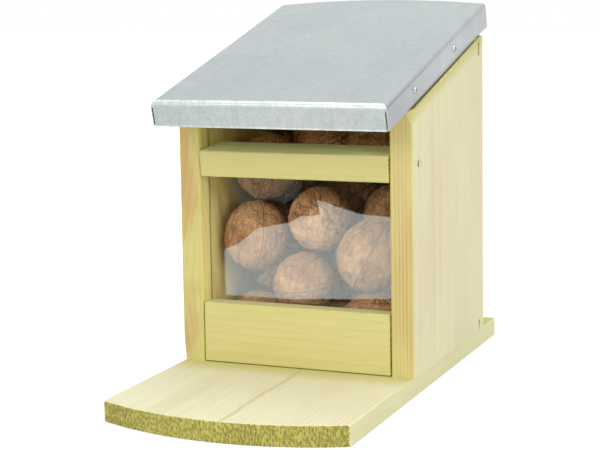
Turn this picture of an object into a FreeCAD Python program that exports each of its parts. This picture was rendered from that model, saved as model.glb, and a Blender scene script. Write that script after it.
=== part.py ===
import FreeCAD, Part
import math
import os
from types import SimpleNamespace

import Sketcher

# Squirrel feeder box: a nut hopper on a bowed feeding board, under a hinged lid with a sheet metal cap.
# X is across the box, Y runs from the bowed front to the back, Z is up.
# The origin is at the middle of the underside of the base board.

# Driving dimensions, in millimetres and degrees
SIZES = {
    # base board
    "base_width": 124.0,
    "base_length": 242.0,
    "base_thickness": 10.0,
    "bow_depth": 14.0,
    "base_corner_radius": 3.0,
    "platform_depth": 83.0,
    # side walls
    "wall_thickness": 12.0,
    "wall_overhang": 1.0,
    "wall_depth": 118.0,
    "wall_front_height": 130.0,
    "wall_corner_radius": 2.0,
    "roof_pitch": 15.5,
    "arris_radius": 0.8,
    # window and its grooves
    "groove_setback": 9.2,
    "groove_width": 2.4,
    "groove_depth": 4.0,
    "window_thickness": 2.0,
    "window_side_play": 0.4,
    "window_top_play": 0.3,
    # boards between the walls
    "front_board_height": 31.0,
    "front_board_thickness": 9.0,
    "front_board_left_gap": 0.4,
    "front_board_right_gap": 0.5,
    "rail_bottom_height": 95.5,
    "rail_height": 13.3,
    "rail_depth": 24.0,
    "rail_tilt": 6.0,
    "rail_end_gap": 0.25,
    "back_board_thickness": 12.0,
    # lid board
    "lid_board_thickness": 13.5,
    "lid_front_overhang": 29.0,
    "lid_rear_overhang": 15.5,
    "lid_board_side_play": 1.0,
    "lid_board_front_play": 2.5,
    # sheet metal cap
    "sheet_thickness": 0.5,
    "cap_width": 122.5,
    "cap_end_flange": 13.0,
    "cap_side_flange_front": 12.6,
    "cap_side_flange_rear": 13.8,
    "cap_crown_front": 0.25,
    "cap_crown_rear": 2.7,
    "cap_bend_radius": 2.4,
    "cap_corner_slit": 0.6,
    # nails that hold the cap to the lid board
    "cap_nail_length": 14.0,
    "cap_nail_radius": 0.8,
    "cap_nail_head_radius": 1.6,
    "cap_nail_drop": 6.7,
    "cap_nail_front": 40.0,
    "cap_nail_spacing": 65.0,
    # nails through the side walls
    "side_nail_length": 26.0,
    "side_nail_radius": 0.8,
    "side_nail_head_radius": 1.5,
    "side_nail_sink": 0.4,
    "rail_nail_setback": 9.3,
    "rail_nail_height": 9.0,
    "back_nail_setback": 8.0,
    "back_nail_foot": 5.0,
    "back_nail_top": 7.0,
    # screws up through the base board
    "base_screw_length": 30.0,
    "base_screw_radius": 1.5,
    "base_screw_head_radius": 3.2,
    "base_screw_head_depth": 2.2,
    "wall_screw_margin": 20.0,
    "board_screw_inset": 20.0,
    # hinges under the lid's rear overhang
    "hinge_inset": 9.5,
    "hinge_width": 25.0,
    "hinge_pin_radius": 1.0,
    "hinge_pin_play": 0.05,
    "knuckle_radius": 2.0,
    "knuckle_play": 0.15,
    "leaf_thickness": 1.0,
    "frame_leaf_length": 14.0,
    "lid_leaf_length": 11.0,
    "pin_head_radius": 1.7,
    "pin_head_thickness": 0.6,
    "hinge_screw_length": 9.0,
    "hinge_screw_radius": 1.1,
    "hinge_screw_head_radius": 2.0,
    "hinge_screw_spacing": 15.0,
    "hinge_screw_edge": 3.6,
    # clearance of a nail or screw in its hole
    "hole_play": 0.05,
    # walnuts in the hopper
    "nut_length": 36.6,
    "nut_width": 34.0,
    "nut_seam_height": 0.5,
    "nut_seam_width": 1.6,
    "nut_seam_reach": 0.3,
    "nut_gap": 0.2,
    "nut_headroom": 9.0,
    "nut_settle_step": 0.1,
}

doc = FreeCAD.newDocument("squirrel_feeder")

sheet = doc.addObject("Spreadsheet::Sheet", "Sizes")
for row, (alias, value) in enumerate(SIZES.items(), start=1):
    sheet.set(f"A{row}", alias)
    sheet.set(f"B{row}", str(value))
    sheet.setAlias(f"B{row}", alias)
doc.recompute()
size = SimpleNamespace(**{alias: float(sheet.get(alias)) for alias in SIZES})

X_AXIS = FreeCAD.Vector(1, 0, 0)
Y_AXIS = FreeCAD.Vector(0, 1, 0)
Z_AXIS = FreeCAD.Vector(0, 0, 1)
ORIGIN = FreeCAD.Vector(0, 0, 0)
SIDES = {"left": -1, "right": 1}

# The room between the walls, which stand a little wider than the base board
INNER_WIDTH = "(Sizes.base_width + 2 * Sizes.wall_overhang - 2 * Sizes.wall_thickness)"

# Places that follow from the driving dimensions
pitch = math.radians(size.roof_pitch)
half_outer = size.base_width / 2 + size.wall_overhang
half_inner = half_outer - size.wall_thickness
corner_y = size.bow_depth - size.base_length / 2
wall_front_y = corner_y + size.platform_depth
wall_rear_y = wall_front_y + size.wall_depth
back_board_y = wall_rear_y - size.back_board_thickness
groove_y = wall_front_y + size.groove_setback
window_y = groove_y + (size.groove_width - size.window_thickness) / 2
rail_z = size.base_thickness + size.rail_bottom_height
board_screw_x = half_inner - size.board_screw_inset
wall_front_z = size.base_thickness + size.wall_front_height

# The lid's own frame: X across, Y up the slope, Z square to the roof.
# Its origin is on the lid board's underside, over the front ends of the walls.
lid_frame = FreeCAD.Placement(
    FreeCAD.Vector(0, wall_front_y, wall_front_z),
    FreeCAD.Rotation(X_AXIS, size.roof_pitch),
)
lid_front = -size.lid_front_overhang
lid_rear = size.wall_depth / math.cos(pitch) + size.lid_rear_overhang
lid_length = lid_rear - lid_front
cap_top = size.lid_board_thickness + size.sheet_thickness


def under_lid_z(y):
    """Height of the lid board's underside over a place y."""
    return wall_front_z + (y - wall_front_y) * math.tan(pitch)


# Hinge line: one knuckle radius and its play clear of the back board and of the lid board
pin_offset = size.knuckle_radius + size.knuckle_play
pin_y = wall_rear_y + pin_offset
pin_z = under_lid_z(pin_y) - pin_offset / math.cos(pitch)
hinge_x = half_inner - size.hinge_inset - size.hinge_width / 2
hinge_centres = [-hinge_x, hinge_x]

parts = {}


def keep(obj, label, placement=None):
    """Names a finished sub-part and puts it on the list that is written out."""
    obj.Label = label
    if placement is not None:
        obj.Placement = placement
    parts[label] = obj
    return obj


def bind(obj, **expressions):
    """Ties properties to spreadsheet cells; a double underscore stands for a dot."""
    for path, expression in expressions.items():
        obj.setExpression(path.replace("__", "."), expression)


def make_box(name, length, width, height, corner):
    """A Part box whose three sizes are bound to the sheet."""
    box = doc.addObject("Part::Box", name)
    bind(box, Length=length, Width=width, Height=height)
    box.Placement.Base = corner
    return box


def make_cylinder(name, radius, height, base, direction):
    """A Part cylinder whose radius and height are bound to the sheet."""
    cylinder = doc.addObject("Part::Cylinder", name)
    bind(cylinder, Radius=radius, Height=height)
    cylinder.Placement = FreeCAD.Placement(base, FreeCAD.Rotation(Z_AXIS, direction))
    return cylinder


def make_cone(name, small_radius, large_radius, height, base, direction):
    """A Part cone whose sizes are bound to the sheet; the small end is at its base."""
    cone = doc.addObject("Part::Cone", name)
    bind(cone, Radius1=small_radius, Radius2=large_radius, Height=height)
    cone.Placement = FreeCAD.Placement(base, FreeCAD.Rotation(Z_AXIS, direction))
    return cone


def cut(name, base, tools):
    """The base less all the tools."""
    gathered = doc.addObject("Part::Compound", name + "_tools")
    gathered.Links = tools
    result = doc.addObject("Part::Cut", name)
    result.Base = base
    result.Tool = gathered
    return result


def fuse(name, shapes):
    """One solid from several that meet."""
    result = doc.addObject("Part::MultiFuse", name)
    result.Shapes = shapes
    return result


def group(name, shapes):
    """Separate solids under one name."""
    result = doc.addObject("Part::Compound", name)
    result.Links = shapes
    return result


def round_edges(name, base, radius, wanted):
    """Rounds the edges of base that the test wanted picks."""
    doc.recompute()
    result = doc.addObject("Part::Fillet", name)
    result.Base = base
    result.Edges = [
        (number, radius, radius)
        for number, edge in enumerate(base.Shape.Edges, start=1)
        if wanted(edge)
    ]
    return result


def is_along(edge, axis):
    """True for a straight edge that runs along an axis."""
    if not isinstance(edge.Curve, Part.Line):
        return False
    return abs(abs(edge.Curve.Direction.dot(axis)) - 1) < 1e-6


def origin_plane(body, role):
    """One of a body's own origin planes, found by its role."""
    for feature in body.Origin.OriginFeatures:
        if feature.Role == role:
            return feature
    raise ValueError(role)


def start_body(name):
    """A new PartDesign body."""
    return doc.addObject("PartDesign::Body", name)


def start_sketch(body, name, role, offset=None):
    """A sketch on one of the body's origin planes, moved along its normal by an expression."""
    sketch = body.newObject("Sketcher::SketchObject", name)
    sketch.AttachmentSupport = [(origin_plane(body, role), "")]
    sketch.MapMode = "FlatFace"
    if offset is not None:
        sketch.setExpression("AttachmentOffset.Base.z", offset)
    return sketch


def pad(body, sketch, name, length):
    """Pads a sketch by a length that is bound to the sheet."""
    feature = body.newObject("PartDesign::Pad", name)
    feature.Profile = sketch
    bind(feature, Length=length)
    sketch.Visibility = False
    return feature


def fillet(body, feature, name, radius, wanted):
    """A PartDesign fillet on the edges of a feature that the test wanted picks."""
    doc.recompute()
    rounded = body.newObject("PartDesign::Fillet", name)
    names = [
        f"Edge{number}"
        for number, edge in enumerate(feature.Shape.Edges, start=1)
        if wanted(edge)
    ]
    rounded.Base = (feature, names)
    bind(rounded, Radius=radius)
    return rounded


def draw_polygon(sketch, points):
    """Joins the points into a closed outline and returns the number of its first line."""
    first = sketch.GeometryCount
    count = len(points)
    for index in range(count):
        start = FreeCAD.Vector(*points[index], 0)
        end = FreeCAD.Vector(*points[(index + 1) % count], 0)
        sketch.addGeometry(Part.LineSegment(start, end), False)
    for index in range(count):
        following = first + (index + 1) % count
        sketch.addConstraint(Sketcher.Constraint("Coincident", first + index, 2, following, 1))
    return first


def dimension(sketch, name, expression, kind, *places):
    """Adds a named dimension whose value comes from the sheet."""
    index = sketch.addConstraint(Sketcher.Constraint(kind, *places))
    sketch.renameConstraint(index, name)
    sketch.setExpression(f"Constraints.{name}", expression)


# Base board: straight back and sides, and a front edge bowed in one arc
def build_base_board():
    """The board that everything stands on, drilled from below for its screws."""
    body = start_body("base_body")
    sketch = start_sketch(body, "base_outline", "XY_Plane")
    half = size.base_width / 2
    rear_y = size.base_length / 2
    bow_radius = (half ** 2 + size.bow_depth ** 2) / (2 * size.bow_depth)
    bow_centre = FreeCAD.Vector(0, corner_y - size.bow_depth + bow_radius, 0)
    half_angle = math.asin(half / bow_radius)
    corners = [(half, corner_y), (half, rear_y), (-half, rear_y), (-half, corner_y)]
    for start, end in zip(corners, corners[1:]):
        sketch.addGeometry(Part.LineSegment(FreeCAD.Vector(*start, 0), FreeCAD.Vector(*end, 0)), False)
    circle = Part.Circle(bow_centre, Z_AXIS, bow_radius)
    down = -math.pi / 2
    sketch.addGeometry(Part.ArcOfCircle(circle, down - half_angle, down + half_angle), False)
    right, back, left, bow = range(4)
    for first, second in ((right, back), (back, left)):
        sketch.addConstraint(Sketcher.Constraint("Coincident", first, 2, second, 1))
    sketch.addConstraint(Sketcher.Constraint("Coincident", left, 2, bow, 1))
    sketch.addConstraint(Sketcher.Constraint("Coincident", right, 1, bow, 2))
    sketch.addConstraint(Sketcher.Constraint("Vertical", right))
    sketch.addConstraint(Sketcher.Constraint("Vertical", left))
    sketch.addConstraint(Sketcher.Constraint("Symmetric", back, 1, back, 2, -2))
    dimension(sketch, "width", "Sizes.base_width", "DistanceX", back, 2, back, 1, size.base_width)
    side = size.base_length - size.bow_depth
    dimension(
        sketch, "side", "Sizes.base_length - Sizes.bow_depth", "DistanceY", right, 1, right, 2, side
    )
    dimension(sketch, "rear", "Sizes.base_length / 2", "DistanceY", -1, 1, back, 1, rear_y)
    dimension(
        sketch,
        "bow",
        "(Sizes.base_width ^ 2 / 4 + Sizes.bow_depth ^ 2) / (2 * Sizes.bow_depth)",
        "Radius",
        bow,
        bow_radius,
    )
    board = pad(body, sketch, "base_thickness", "Sizes.base_thickness")
    corners = fillet(
        body,
        board,
        "base_corners",
        "Sizes.base_corner_radius",
        lambda edge: is_along(edge, Z_AXIS) and edge.CenterOfMass.y < 0,
    )
    fillet(
        body,
        corners,
        "base_arris",
        "Sizes.arris_radius",
        lambda edge: not is_along(edge, Z_AXIS) or edge.CenterOfMass.y > 0,
    )
    doc.recompute()
    holes = base_screw_tools(size.hole_play)
    return keep(cut("base_board_drilled", body, holes), "base_board")


# Base screws: two into each wall's foot, two into the front board and two into the back board
def base_screw_places():
    """Where the screws stand on the underside of the base board."""
    wall_x = half_outer - size.wall_thickness / 2
    wall_ys = (wall_front_y + size.wall_screw_margin, wall_rear_y - size.wall_screw_margin)
    board_ys = (
        wall_front_y + size.front_board_thickness / 2,
        wall_rear_y - size.back_board_thickness / 2,
    )
    places = [(side * wall_x, y) for side in SIDES.values() for y in wall_ys]
    places += [(side * board_screw_x, y) for side in SIDES.values() for y in board_ys]
    return places


def base_screw_tools(play):
    """Countersunk screw shapes for the base board, larger all round by a play."""
    tools = []
    for number, (x, y) in enumerate(base_screw_places()):
        foot = FreeCAD.Vector(x, y, 0)
        tag = f"base_screw_{number}_{'hole' if play else 'body'}"
        grow = f" + {play}" if play else ""
        shank = make_cylinder(
            tag + "_shank", "Sizes.base_screw_radius" + grow, "Sizes.base_screw_length" + grow, foot, Z_AXIS
        )
        head = make_cone(
            tag + "_head",
            "Sizes.base_screw_head_radius" + grow,
            "Sizes.base_screw_radius" + grow,
            "Sizes.base_screw_head_depth" + grow,
            foot,
            Z_AXIS,
        )
        tools.append(fuse(tag, [shank, head]))
    return tools


# Nails through the side walls into the ends of the rail and of the back board
def side_nail_places(side):
    """Head centres of the nails in one side wall, by the board that they hold."""
    x = side * (half_outer - size.side_nail_sink)
    back_y = wall_rear_y - size.back_nail_setback
    low_z = size.base_thickness + size.back_nail_foot
    high_z = under_lid_z(back_y) - size.back_nail_top
    return {
        "rail": [FreeCAD.Vector(x, wall_front_y + size.rail_nail_setback, rail_z + size.rail_nail_height)],
        "back": [FreeCAD.Vector(x, back_y, low_z), FreeCAD.Vector(x, back_y, high_z)],
    }


def nail_hole(name, head_place, inward):
    """The hole that a side nail fills, with the sunk head's own recess."""
    shank = make_cylinder(
        name + "_shank",
        "Sizes.side_nail_radius + Sizes.hole_play",
        "Sizes.side_nail_length + Sizes.hole_play",
        head_place,
        inward,
    )
    recess = make_cylinder(
        name + "_recess",
        "Sizes.side_nail_head_radius + Sizes.hole_play",
        "2 * Sizes.side_nail_sink + Sizes.hole_play",
        head_place - inward * size.side_nail_sink,
        inward,
    )
    return fuse(name, [shank, recess])


def nail_body(name, head_place, inward, prefix):
    """A nail: a flat head and a shank, from the sizes that start with a prefix."""
    shank = make_cylinder(
        name + "_shank", f"Sizes.{prefix}_radius", f"Sizes.{prefix}_length", head_place, inward
    )
    head = doc.addObject("Part::Cylinder", name + "_head")
    bind(head, Radius=f"Sizes.{prefix}_head_radius", Height="Sizes.side_nail_sink")
    head.Placement = FreeCAD.Placement(head_place, FreeCAD.Rotation(Z_AXIS, inward))
    return fuse(name, [shank, head])


def build_side_wall(side_name, side):
    """A side wall: sloping top, a groove for the window down its inner face, nail and screw holes."""
    body = start_body(f"wall_{side_name}_body")
    inner = f"{INNER_WIDTH} / 2"
    offset = inner if side > 0 else f"-{inner} - Sizes.wall_thickness"
    sketch = start_sketch(body, f"wall_{side_name}_profile", "YZ_Plane", offset)
    rear_z = under_lid_z(wall_rear_y)
    foot_z = size.base_thickness
    first = draw_polygon(
        sketch,
        [
            (wall_front_y, foot_z),
            (wall_rear_y, foot_z),
            (wall_rear_y, rear_z),
            (wall_front_y, wall_front_z),
        ],
    )
    foot, back, _, front = range(first, first + 4)
    sketch.addConstraint(Sketcher.Constraint("Horizontal", foot))
    sketch.addConstraint(Sketcher.Constraint("Vertical", back))
    sketch.addConstraint(Sketcher.Constraint("Vertical", front))
    front_y = "Sizes.bow_depth - Sizes.base_length / 2 + Sizes.platform_depth"
    dimension(sketch, "front_place", front_y, "DistanceX", -1, 1, foot, 1, wall_front_y)
    dimension(sketch, "foot_level", "Sizes.base_thickness", "DistanceY", -1, 1, foot, 1, foot_z)
    dimension(sketch, "depth", "Sizes.wall_depth", "DistanceX", foot, 1, foot, 2, size.wall_depth)
    height = size.wall_front_height
    dimension(sketch, "front_height", "Sizes.wall_front_height", "DistanceY", foot, 1, front, 1, height)
    rise = "Sizes.wall_depth * tan(Sizes.roof_pitch * 1 deg)"
    dimension(sketch, "rise", rise, "DistanceY", front, 1, back, 2, rear_z - wall_front_z)
    board = pad(body, sketch, f"wall_{side_name}_pad", "Sizes.wall_thickness")
    outer_x = side * half_outer

    def is_outer_front(edge):
        middle = edge.CenterOfMass
        if not is_along(edge, Z_AXIS):
            return False
        return abs(middle.x - outer_x) < 1e-3 and abs(middle.y - wall_front_y) < 1e-3

    rounded = fillet(body, board, f"wall_{side_name}_corner", "Sizes.wall_corner_radius", is_outer_front)

    def is_inner_front(edge):
        middle = edge.CenterOfMass
        if not is_along(edge, Z_AXIS):
            return False
        return abs(abs(middle.x) - half_inner) < 1e-3 and abs(middle.y - wall_front_y) < 1e-3

    fillet(body, rounded, f"wall_{side_name}_arris", "Sizes.arris_radius", is_inner_front)

    groove_x = half_inner if side > 0 else -half_inner - size.groove_depth
    groove = make_box(
        f"wall_{side_name}_groove",
        "Sizes.groove_depth",
        "Sizes.groove_width",
        "2 * Sizes.wall_front_height + Sizes.wall_depth",
        FreeCAD.Vector(groove_x, groove_y, 0),
    )
    tools = [groove]
    inward = X_AXIS * -side
    for board_name, places in side_nail_places(side).items():
        for number, place in enumerate(places):
            tools.append(nail_hole(f"{board_name}_nail_hole_{side_name}_{number}", place, inward))
    tools += wall_screw_holes(side_name, side)
    return keep(cut(f"side_wall_{side_name}_cut", body, tools), f"side_wall_{side_name}")


def screw_pilot(name, x, y):
    """The upper part of a base screw's hole, in what stands on the base board."""
    return make_cylinder(
        name,
        "Sizes.base_screw_radius + Sizes.hole_play",
        "Sizes.base_screw_length + Sizes.hole_play",
        FreeCAD.Vector(x, y, 0),
        Z_AXIS,
    )


def wall_screw_holes(side_name, side):
    """Pilot holes in one wall's foot."""
    wall_x = half_inner
    return [
        screw_pilot(f"wall_{side_name}_pilot_{number}", x, y)
        for number, (x, y) in enumerate(base_screw_places())
        if x * side > wall_x
    ]


# Front board: stands on the base board between the walls, in front of the window
def build_front_board():
    """The low board that holds the nuts back under the window."""
    board = make_box(
        "front_board_blank",
        f"{INNER_WIDTH} - Sizes.front_board_left_gap - Sizes.front_board_right_gap",
        "Sizes.front_board_thickness",
        "Sizes.front_board_height",
        FreeCAD.Vector(-half_inner + size.front_board_left_gap, wall_front_y, size.base_thickness),
    )
    rounded = round_edges("front_board_rounded", board, size.arris_radius, lambda edge: True)
    y = wall_front_y + size.front_board_thickness / 2
    pilots = [
        screw_pilot(f"front_board_pilot_{number}", side * board_screw_x, y)
        for number, side in enumerate(SIDES.values())
    ]
    return keep(cut("front_board_drilled", rounded, pilots), "front_board")


# Top rail: a batten across the front, tipped back a little, over the top of the window
def build_top_rail():
    """The batten, turned about its lower front edge, with a nail hole in each end."""
    rail = make_box(
        "rail_blank",
        f"{INNER_WIDTH} - 2 * Sizes.rail_end_gap",
        "Sizes.rail_depth",
        "Sizes.rail_height",
        FreeCAD.Vector(-half_inner + size.rail_end_gap, 0, 0),
    )
    rounded = round_edges("rail_rounded", rail, size.arris_radius, lambda edge: True)
    placed = doc.addObject("Part::Compound", "rail_placed")
    placed.Links = [rounded]
    placed.Placement = FreeCAD.Placement(
        FreeCAD.Vector(0, wall_front_y, rail_z), FreeCAD.Rotation(X_AXIS, size.rail_tilt)
    )
    holes = [
        nail_hole(f"rail_end_hole_{side_name}", place, X_AXIS * -side)
        for side_name, side in SIDES.items()
        for place in side_nail_places(side)["rail"]
    ]
    return keep(cut("top_rail_drilled", placed, holes), "top_rail")


# Back board: closes the hopper, with its top cut to the lid's slope
def build_back_board():
    """The board between the walls at the back, which carries the hinges."""
    body = start_body("back_board_body")
    sketch = start_sketch(
        body, "back_board_profile", "YZ_Plane", f"-{INNER_WIDTH} / 2"
    )
    foot_z = size.base_thickness
    first = draw_polygon(
        sketch,
        [
            (back_board_y, foot_z),
            (wall_rear_y, foot_z),
            (wall_rear_y, under_lid_z(wall_rear_y)),
            (back_board_y, under_lid_z(back_board_y)),
        ],
    )
    foot, back, _, front = range(first, first + 4)
    sketch.addConstraint(Sketcher.Constraint("Horizontal", foot))
    sketch.addConstraint(Sketcher.Constraint("Vertical", back))
    sketch.addConstraint(Sketcher.Constraint("Vertical", front))
    rear_y = "Sizes.bow_depth - Sizes.base_length / 2 + Sizes.platform_depth + Sizes.wall_depth"
    dimension(sketch, "rear_place", rear_y, "DistanceX", -1, 1, foot, 2, wall_rear_y)
    dimension(sketch, "foot_level", "Sizes.base_thickness", "DistanceY", -1, 1, foot, 1, foot_z)
    thickness = size.back_board_thickness
    dimension(sketch, "thickness", "Sizes.back_board_thickness", "DistanceX", foot, 1, foot, 2, thickness)
    slope_rise = "tan(Sizes.roof_pitch * 1 deg)"
    height = f"Sizes.wall_front_height + Sizes.wall_depth * {slope_rise}"
    rear_height = under_lid_z(wall_rear_y) - foot_z
    dimension(sketch, "rear_height", height, "DistanceY", foot, 2, back, 2, rear_height)
    rise = f"Sizes.back_board_thickness * {slope_rise}"
    dimension(sketch, "top_rise", rise, "DistanceY", front, 1, back, 2, thickness * math.tan(pitch))
    pad(body, sketch, "back_board_pad", INNER_WIDTH)
    doc.recompute()
    tools = []
    for side_name, side in SIDES.items():
        for number, place in enumerate(side_nail_places(side)["back"]):
            tools.append(nail_hole(f"back_end_hole_{side_name}_{number}", place, X_AXIS * -side))
    y = wall_rear_y - size.back_board_thickness / 2
    for number, side in enumerate(SIDES.values()):
        tools.append(screw_pilot(f"back_board_pilot_{number}", side * board_screw_x, y))
    for number, (place, direction) in enumerate(frame_screw_places()):
        tools.append(hinge_screw_hole(f"frame_hinge_hole_{number}", place, direction))
    return keep(cut("back_board_drilled", body, tools), "back_board")


# Window: a clear sheet that stands in the wall grooves, from the base board up to the rail
def build_window():
    """The clear sheet, held in by the grooves and by the rail over it."""
    sheet_box = make_box(
        "window_blank",
        f"{INNER_WIDTH} + 2 * (Sizes.groove_depth - Sizes.window_side_play)",
        "Sizes.window_thickness",
        "Sizes.rail_bottom_height - Sizes.window_top_play"
        " + Sizes.groove_setback * tan(Sizes.rail_tilt * 1 deg)",
        FreeCAD.Vector(
            -half_inner - size.groove_depth + size.window_side_play, window_y, size.base_thickness
        ),
    )
    return keep(sheet_box, "window_sheet")


# Lid board: the timber under the cap, drilled for the cap nails and the hinge screws
def build_lid_board():
    """The timber of the lid, in the lid's own frame."""
    inset = size.sheet_thickness + size.lid_board_side_play
    board = make_box(
        "lid_board_blank",
        "Sizes.cap_width - 2 * Sizes.sheet_thickness - 2 * Sizes.lid_board_side_play",
        "Sizes.wall_depth / cos(Sizes.roof_pitch * 1 deg) + Sizes.lid_front_overhang"
        " + Sizes.lid_rear_overhang - 2 * Sizes.sheet_thickness - Sizes.lid_board_front_play",
        "Sizes.lid_board_thickness",
        FreeCAD.Vector(
            inset - size.cap_width / 2, lid_front + size.sheet_thickness + size.lid_board_front_play, 0
        ),
    )
    top = size.lid_board_thickness
    eased = round_edges(
        "lid_board_eased", board, size.cap_bend_radius, lambda edge: abs(edge.CenterOfMass.z - top) < 1e-6
    )
    tools = []
    for number, (place, inward) in enumerate(cap_nail_places()):
        tools.append(
            make_cylinder(
                f"cap_nail_pilot_{number}",
                "Sizes.cap_nail_radius + Sizes.hole_play",
                "Sizes.cap_nail_length + Sizes.hole_play",
                place,
                inward,
            )
        )
    for number, (place, direction) in enumerate(lid_screw_places()):
        tools.append(hinge_screw_hole(f"lid_hinge_hole_{number}", place, direction))
    return keep(cut("lid_board_drilled", eased, tools), "lid_board", lid_frame)


def cap_nail_places():
    """Where the cap nails' heads seat on the side flanges, in the lid's frame."""
    x = size.cap_width / 2
    v = cap_top - size.cap_nail_drop
    first = lid_front + size.cap_nail_front
    return [
        (FreeCAD.Vector(side * x, first + step * size.cap_nail_spacing, v), X_AXIS * -side)
        for side in SIDES.values()
        for step in range(2)
    ]


def build_cap_nails():
    """Round-headed nails through the side flanges into the lid board."""
    nails = []
    for number, (place, inward) in enumerate(cap_nail_places()):
        name = f"cap_nail_{number}"
        shank = make_cylinder(
            name + "_shank", "Sizes.cap_nail_radius", "Sizes.cap_nail_length", place, inward
        )
        dome = doc.addObject("Part::Sphere", name + "_dome")
        bind(dome, Radius="Sizes.cap_nail_head_radius", Angle1="0")
        dome.Placement = FreeCAD.Placement(place, FreeCAD.Rotation(Z_AXIS, inward * -1))
        flat = doc.addObject("Part::Common", name + "_head")
        flat.Base = dome
        flat.Tool = make_cylinder(
            name + "_trim",
            "Sizes.cap_nail_head_radius",
            "Sizes.cap_nail_head_radius / 2",
            place,
            inward * -1,
        )
        nails.append(fuse(name, [shank, flat]))
    return keep(group("cap_nails_group", nails), "cap_nails", lid_frame)


# Cap: galvanised sheet folded down on four sides and crowned across, more at the back than the front
def cap_section(y, inset, bottom):
    """The cap's closed cross-section at one place along the slope, moved in by the sheet's thickness."""
    half = size.cap_width / 2 - inset
    share = (y - lid_front) / lid_length
    crown = size.cap_crown_front + (size.cap_crown_rear - size.cap_crown_front) * share
    top = cap_top - inset
    left_foot = FreeCAD.Vector(-half, y, bottom)
    left_top = FreeCAD.Vector(-half, y, top)
    middle = FreeCAD.Vector(0, y, top + crown)
    right_top = FreeCAD.Vector(half, y, top)
    right_foot = FreeCAD.Vector(half, y, bottom)
    return Part.Wire(
        [
            Part.makeLine(left_foot, left_top),
            Part.Arc(left_top, middle, right_top).toShape(),
            Part.makeLine(right_top, right_foot),
            Part.makeLine(right_foot, left_foot),
        ]
    )


def cap_block(inset, bottom):
    """The solid that one face of the sheet bounds, with its bends rounded."""
    front = lid_front + inset
    rear = lid_rear - inset
    block = Part.makeLoft([cap_section(front, inset, bottom), cap_section(rear, inset, bottom)], True, True)
    radius = size.cap_bend_radius - inset
    top = cap_top - inset - size.sheet_thickness
    bends = [
        edge
        for edge in block.Edges
        if min(vertex.Point.z for vertex in edge.Vertexes) > top
    ]
    return block.makeFillet(radius, bends)


def build_cap():
    """The folded cap: flanges with their own depths, and a slit at each lower corner."""
    outer = cap_block(0.0, -size.lid_board_thickness)
    inner = cap_block(size.sheet_thickness, -2 * size.lid_board_thickness)
    shell = outer.cut(inner)
    half = size.cap_width / 2
    reach = 2 * size.lid_board_thickness
    end_edge = cap_top - size.cap_end_flange
    side_front = cap_top - size.cap_side_flange_front
    side_rear = cap_top - size.cap_side_flange_rear
    middle_half = half - size.sheet_thickness - size.cap_corner_slit
    ends = Part.makeBox(
        2 * middle_half, 2 * lid_length, reach, FreeCAD.Vector(-middle_half, -lid_length, end_edge - reach)
    )
    outline = [
        FreeCAD.Vector(-half - 1, lid_front - 1, side_front),
        FreeCAD.Vector(-half - 1, lid_rear + 1, side_rear),
        FreeCAD.Vector(-half - 1, lid_rear + 1, -reach),
        FreeCAD.Vector(-half - 1, lid_front - 1, -reach),
    ]
    sides = Part.Face(Part.makePolygon(outline + outline[:1])).extrude(X_AXIS * (2 * half + 2))
    sides = sides.cut(
        Part.makeBox(
            2 * middle_half, 2 * lid_length, 2 * reach, FreeCAD.Vector(-middle_half, -lid_length, -reach)
        )
    )
    slits = []
    slit_top = cap_top - size.cap_bend_radius - 1
    for side in SIDES.values():
        centre = side * (half - size.sheet_thickness - size.cap_corner_slit / 2)
        for end in (lid_front, lid_rear):
            slits.append(
                Part.makeBox(
                    size.cap_corner_slit,
                    4 * size.sheet_thickness,
                    reach,
                    FreeCAD.Vector(
                        centre - size.cap_corner_slit / 2, end - 2 * size.sheet_thickness, slit_top - reach
                    ),
                )
            )
    holes = [
        Part.makeCylinder(
            size.cap_nail_radius + size.hole_play, size.cap_nail_length, place, inward
        )
        for place, inward in cap_nail_places()
    ]
    cap = doc.addObject("Part::Feature", "roof_cap_sheet")
    cap.Shape = shell.cut([ends, sides] + slits + holes)
    return keep(cap, "roof_cap", lid_frame)


# Hinges: a frame leaf on the back board, a lid leaf under the overhang, and a pin through both
def frame_screw_places():
    """Where the hinge screws enter the back board, and which way they point."""
    z = pin_z - size.frame_leaf_length + size.hinge_screw_edge
    y = wall_rear_y + size.leaf_thickness
    half = size.hinge_screw_spacing / 2
    return [
        (FreeCAD.Vector(centre + side * half, y, z), Y_AXIS * -1)
        for centre in hinge_centres
        for side in SIDES.values()
    ]


def lid_screw_places():
    """The same for the lid board, in the lid's frame."""
    v = -size.leaf_thickness
    u = pin_in_lid().y + size.lid_leaf_length - size.hinge_screw_edge
    half = size.hinge_screw_spacing / 2
    return [
        (FreeCAD.Vector(centre + side * half, u, v), Z_AXIS)
        for centre in hinge_centres
        for side in SIDES.values()
    ]


def pin_in_lid():
    """The hinge line's place in the lid's frame."""
    return lid_frame.inverse().multVec(FreeCAD.Vector(0, pin_y, pin_z))


def hinge_screw_hole(name, head_place, direction):
    """The hole that a countersunk hinge screw fills."""
    shank = make_cylinder(
        name + "_shank",
        "Sizes.hinge_screw_radius + Sizes.hole_play",
        "Sizes.hinge_screw_length + Sizes.hole_play",
        head_place,
        direction,
    )
    head = make_cone(
        name + "_sink",
        "Sizes.hinge_screw_head_radius + Sizes.hole_play",
        "Sizes.hinge_screw_radius + Sizes.hole_play",
        "Sizes.leaf_thickness",
        head_place,
        direction,
    )
    return fuse(name, [shank, head])


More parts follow.
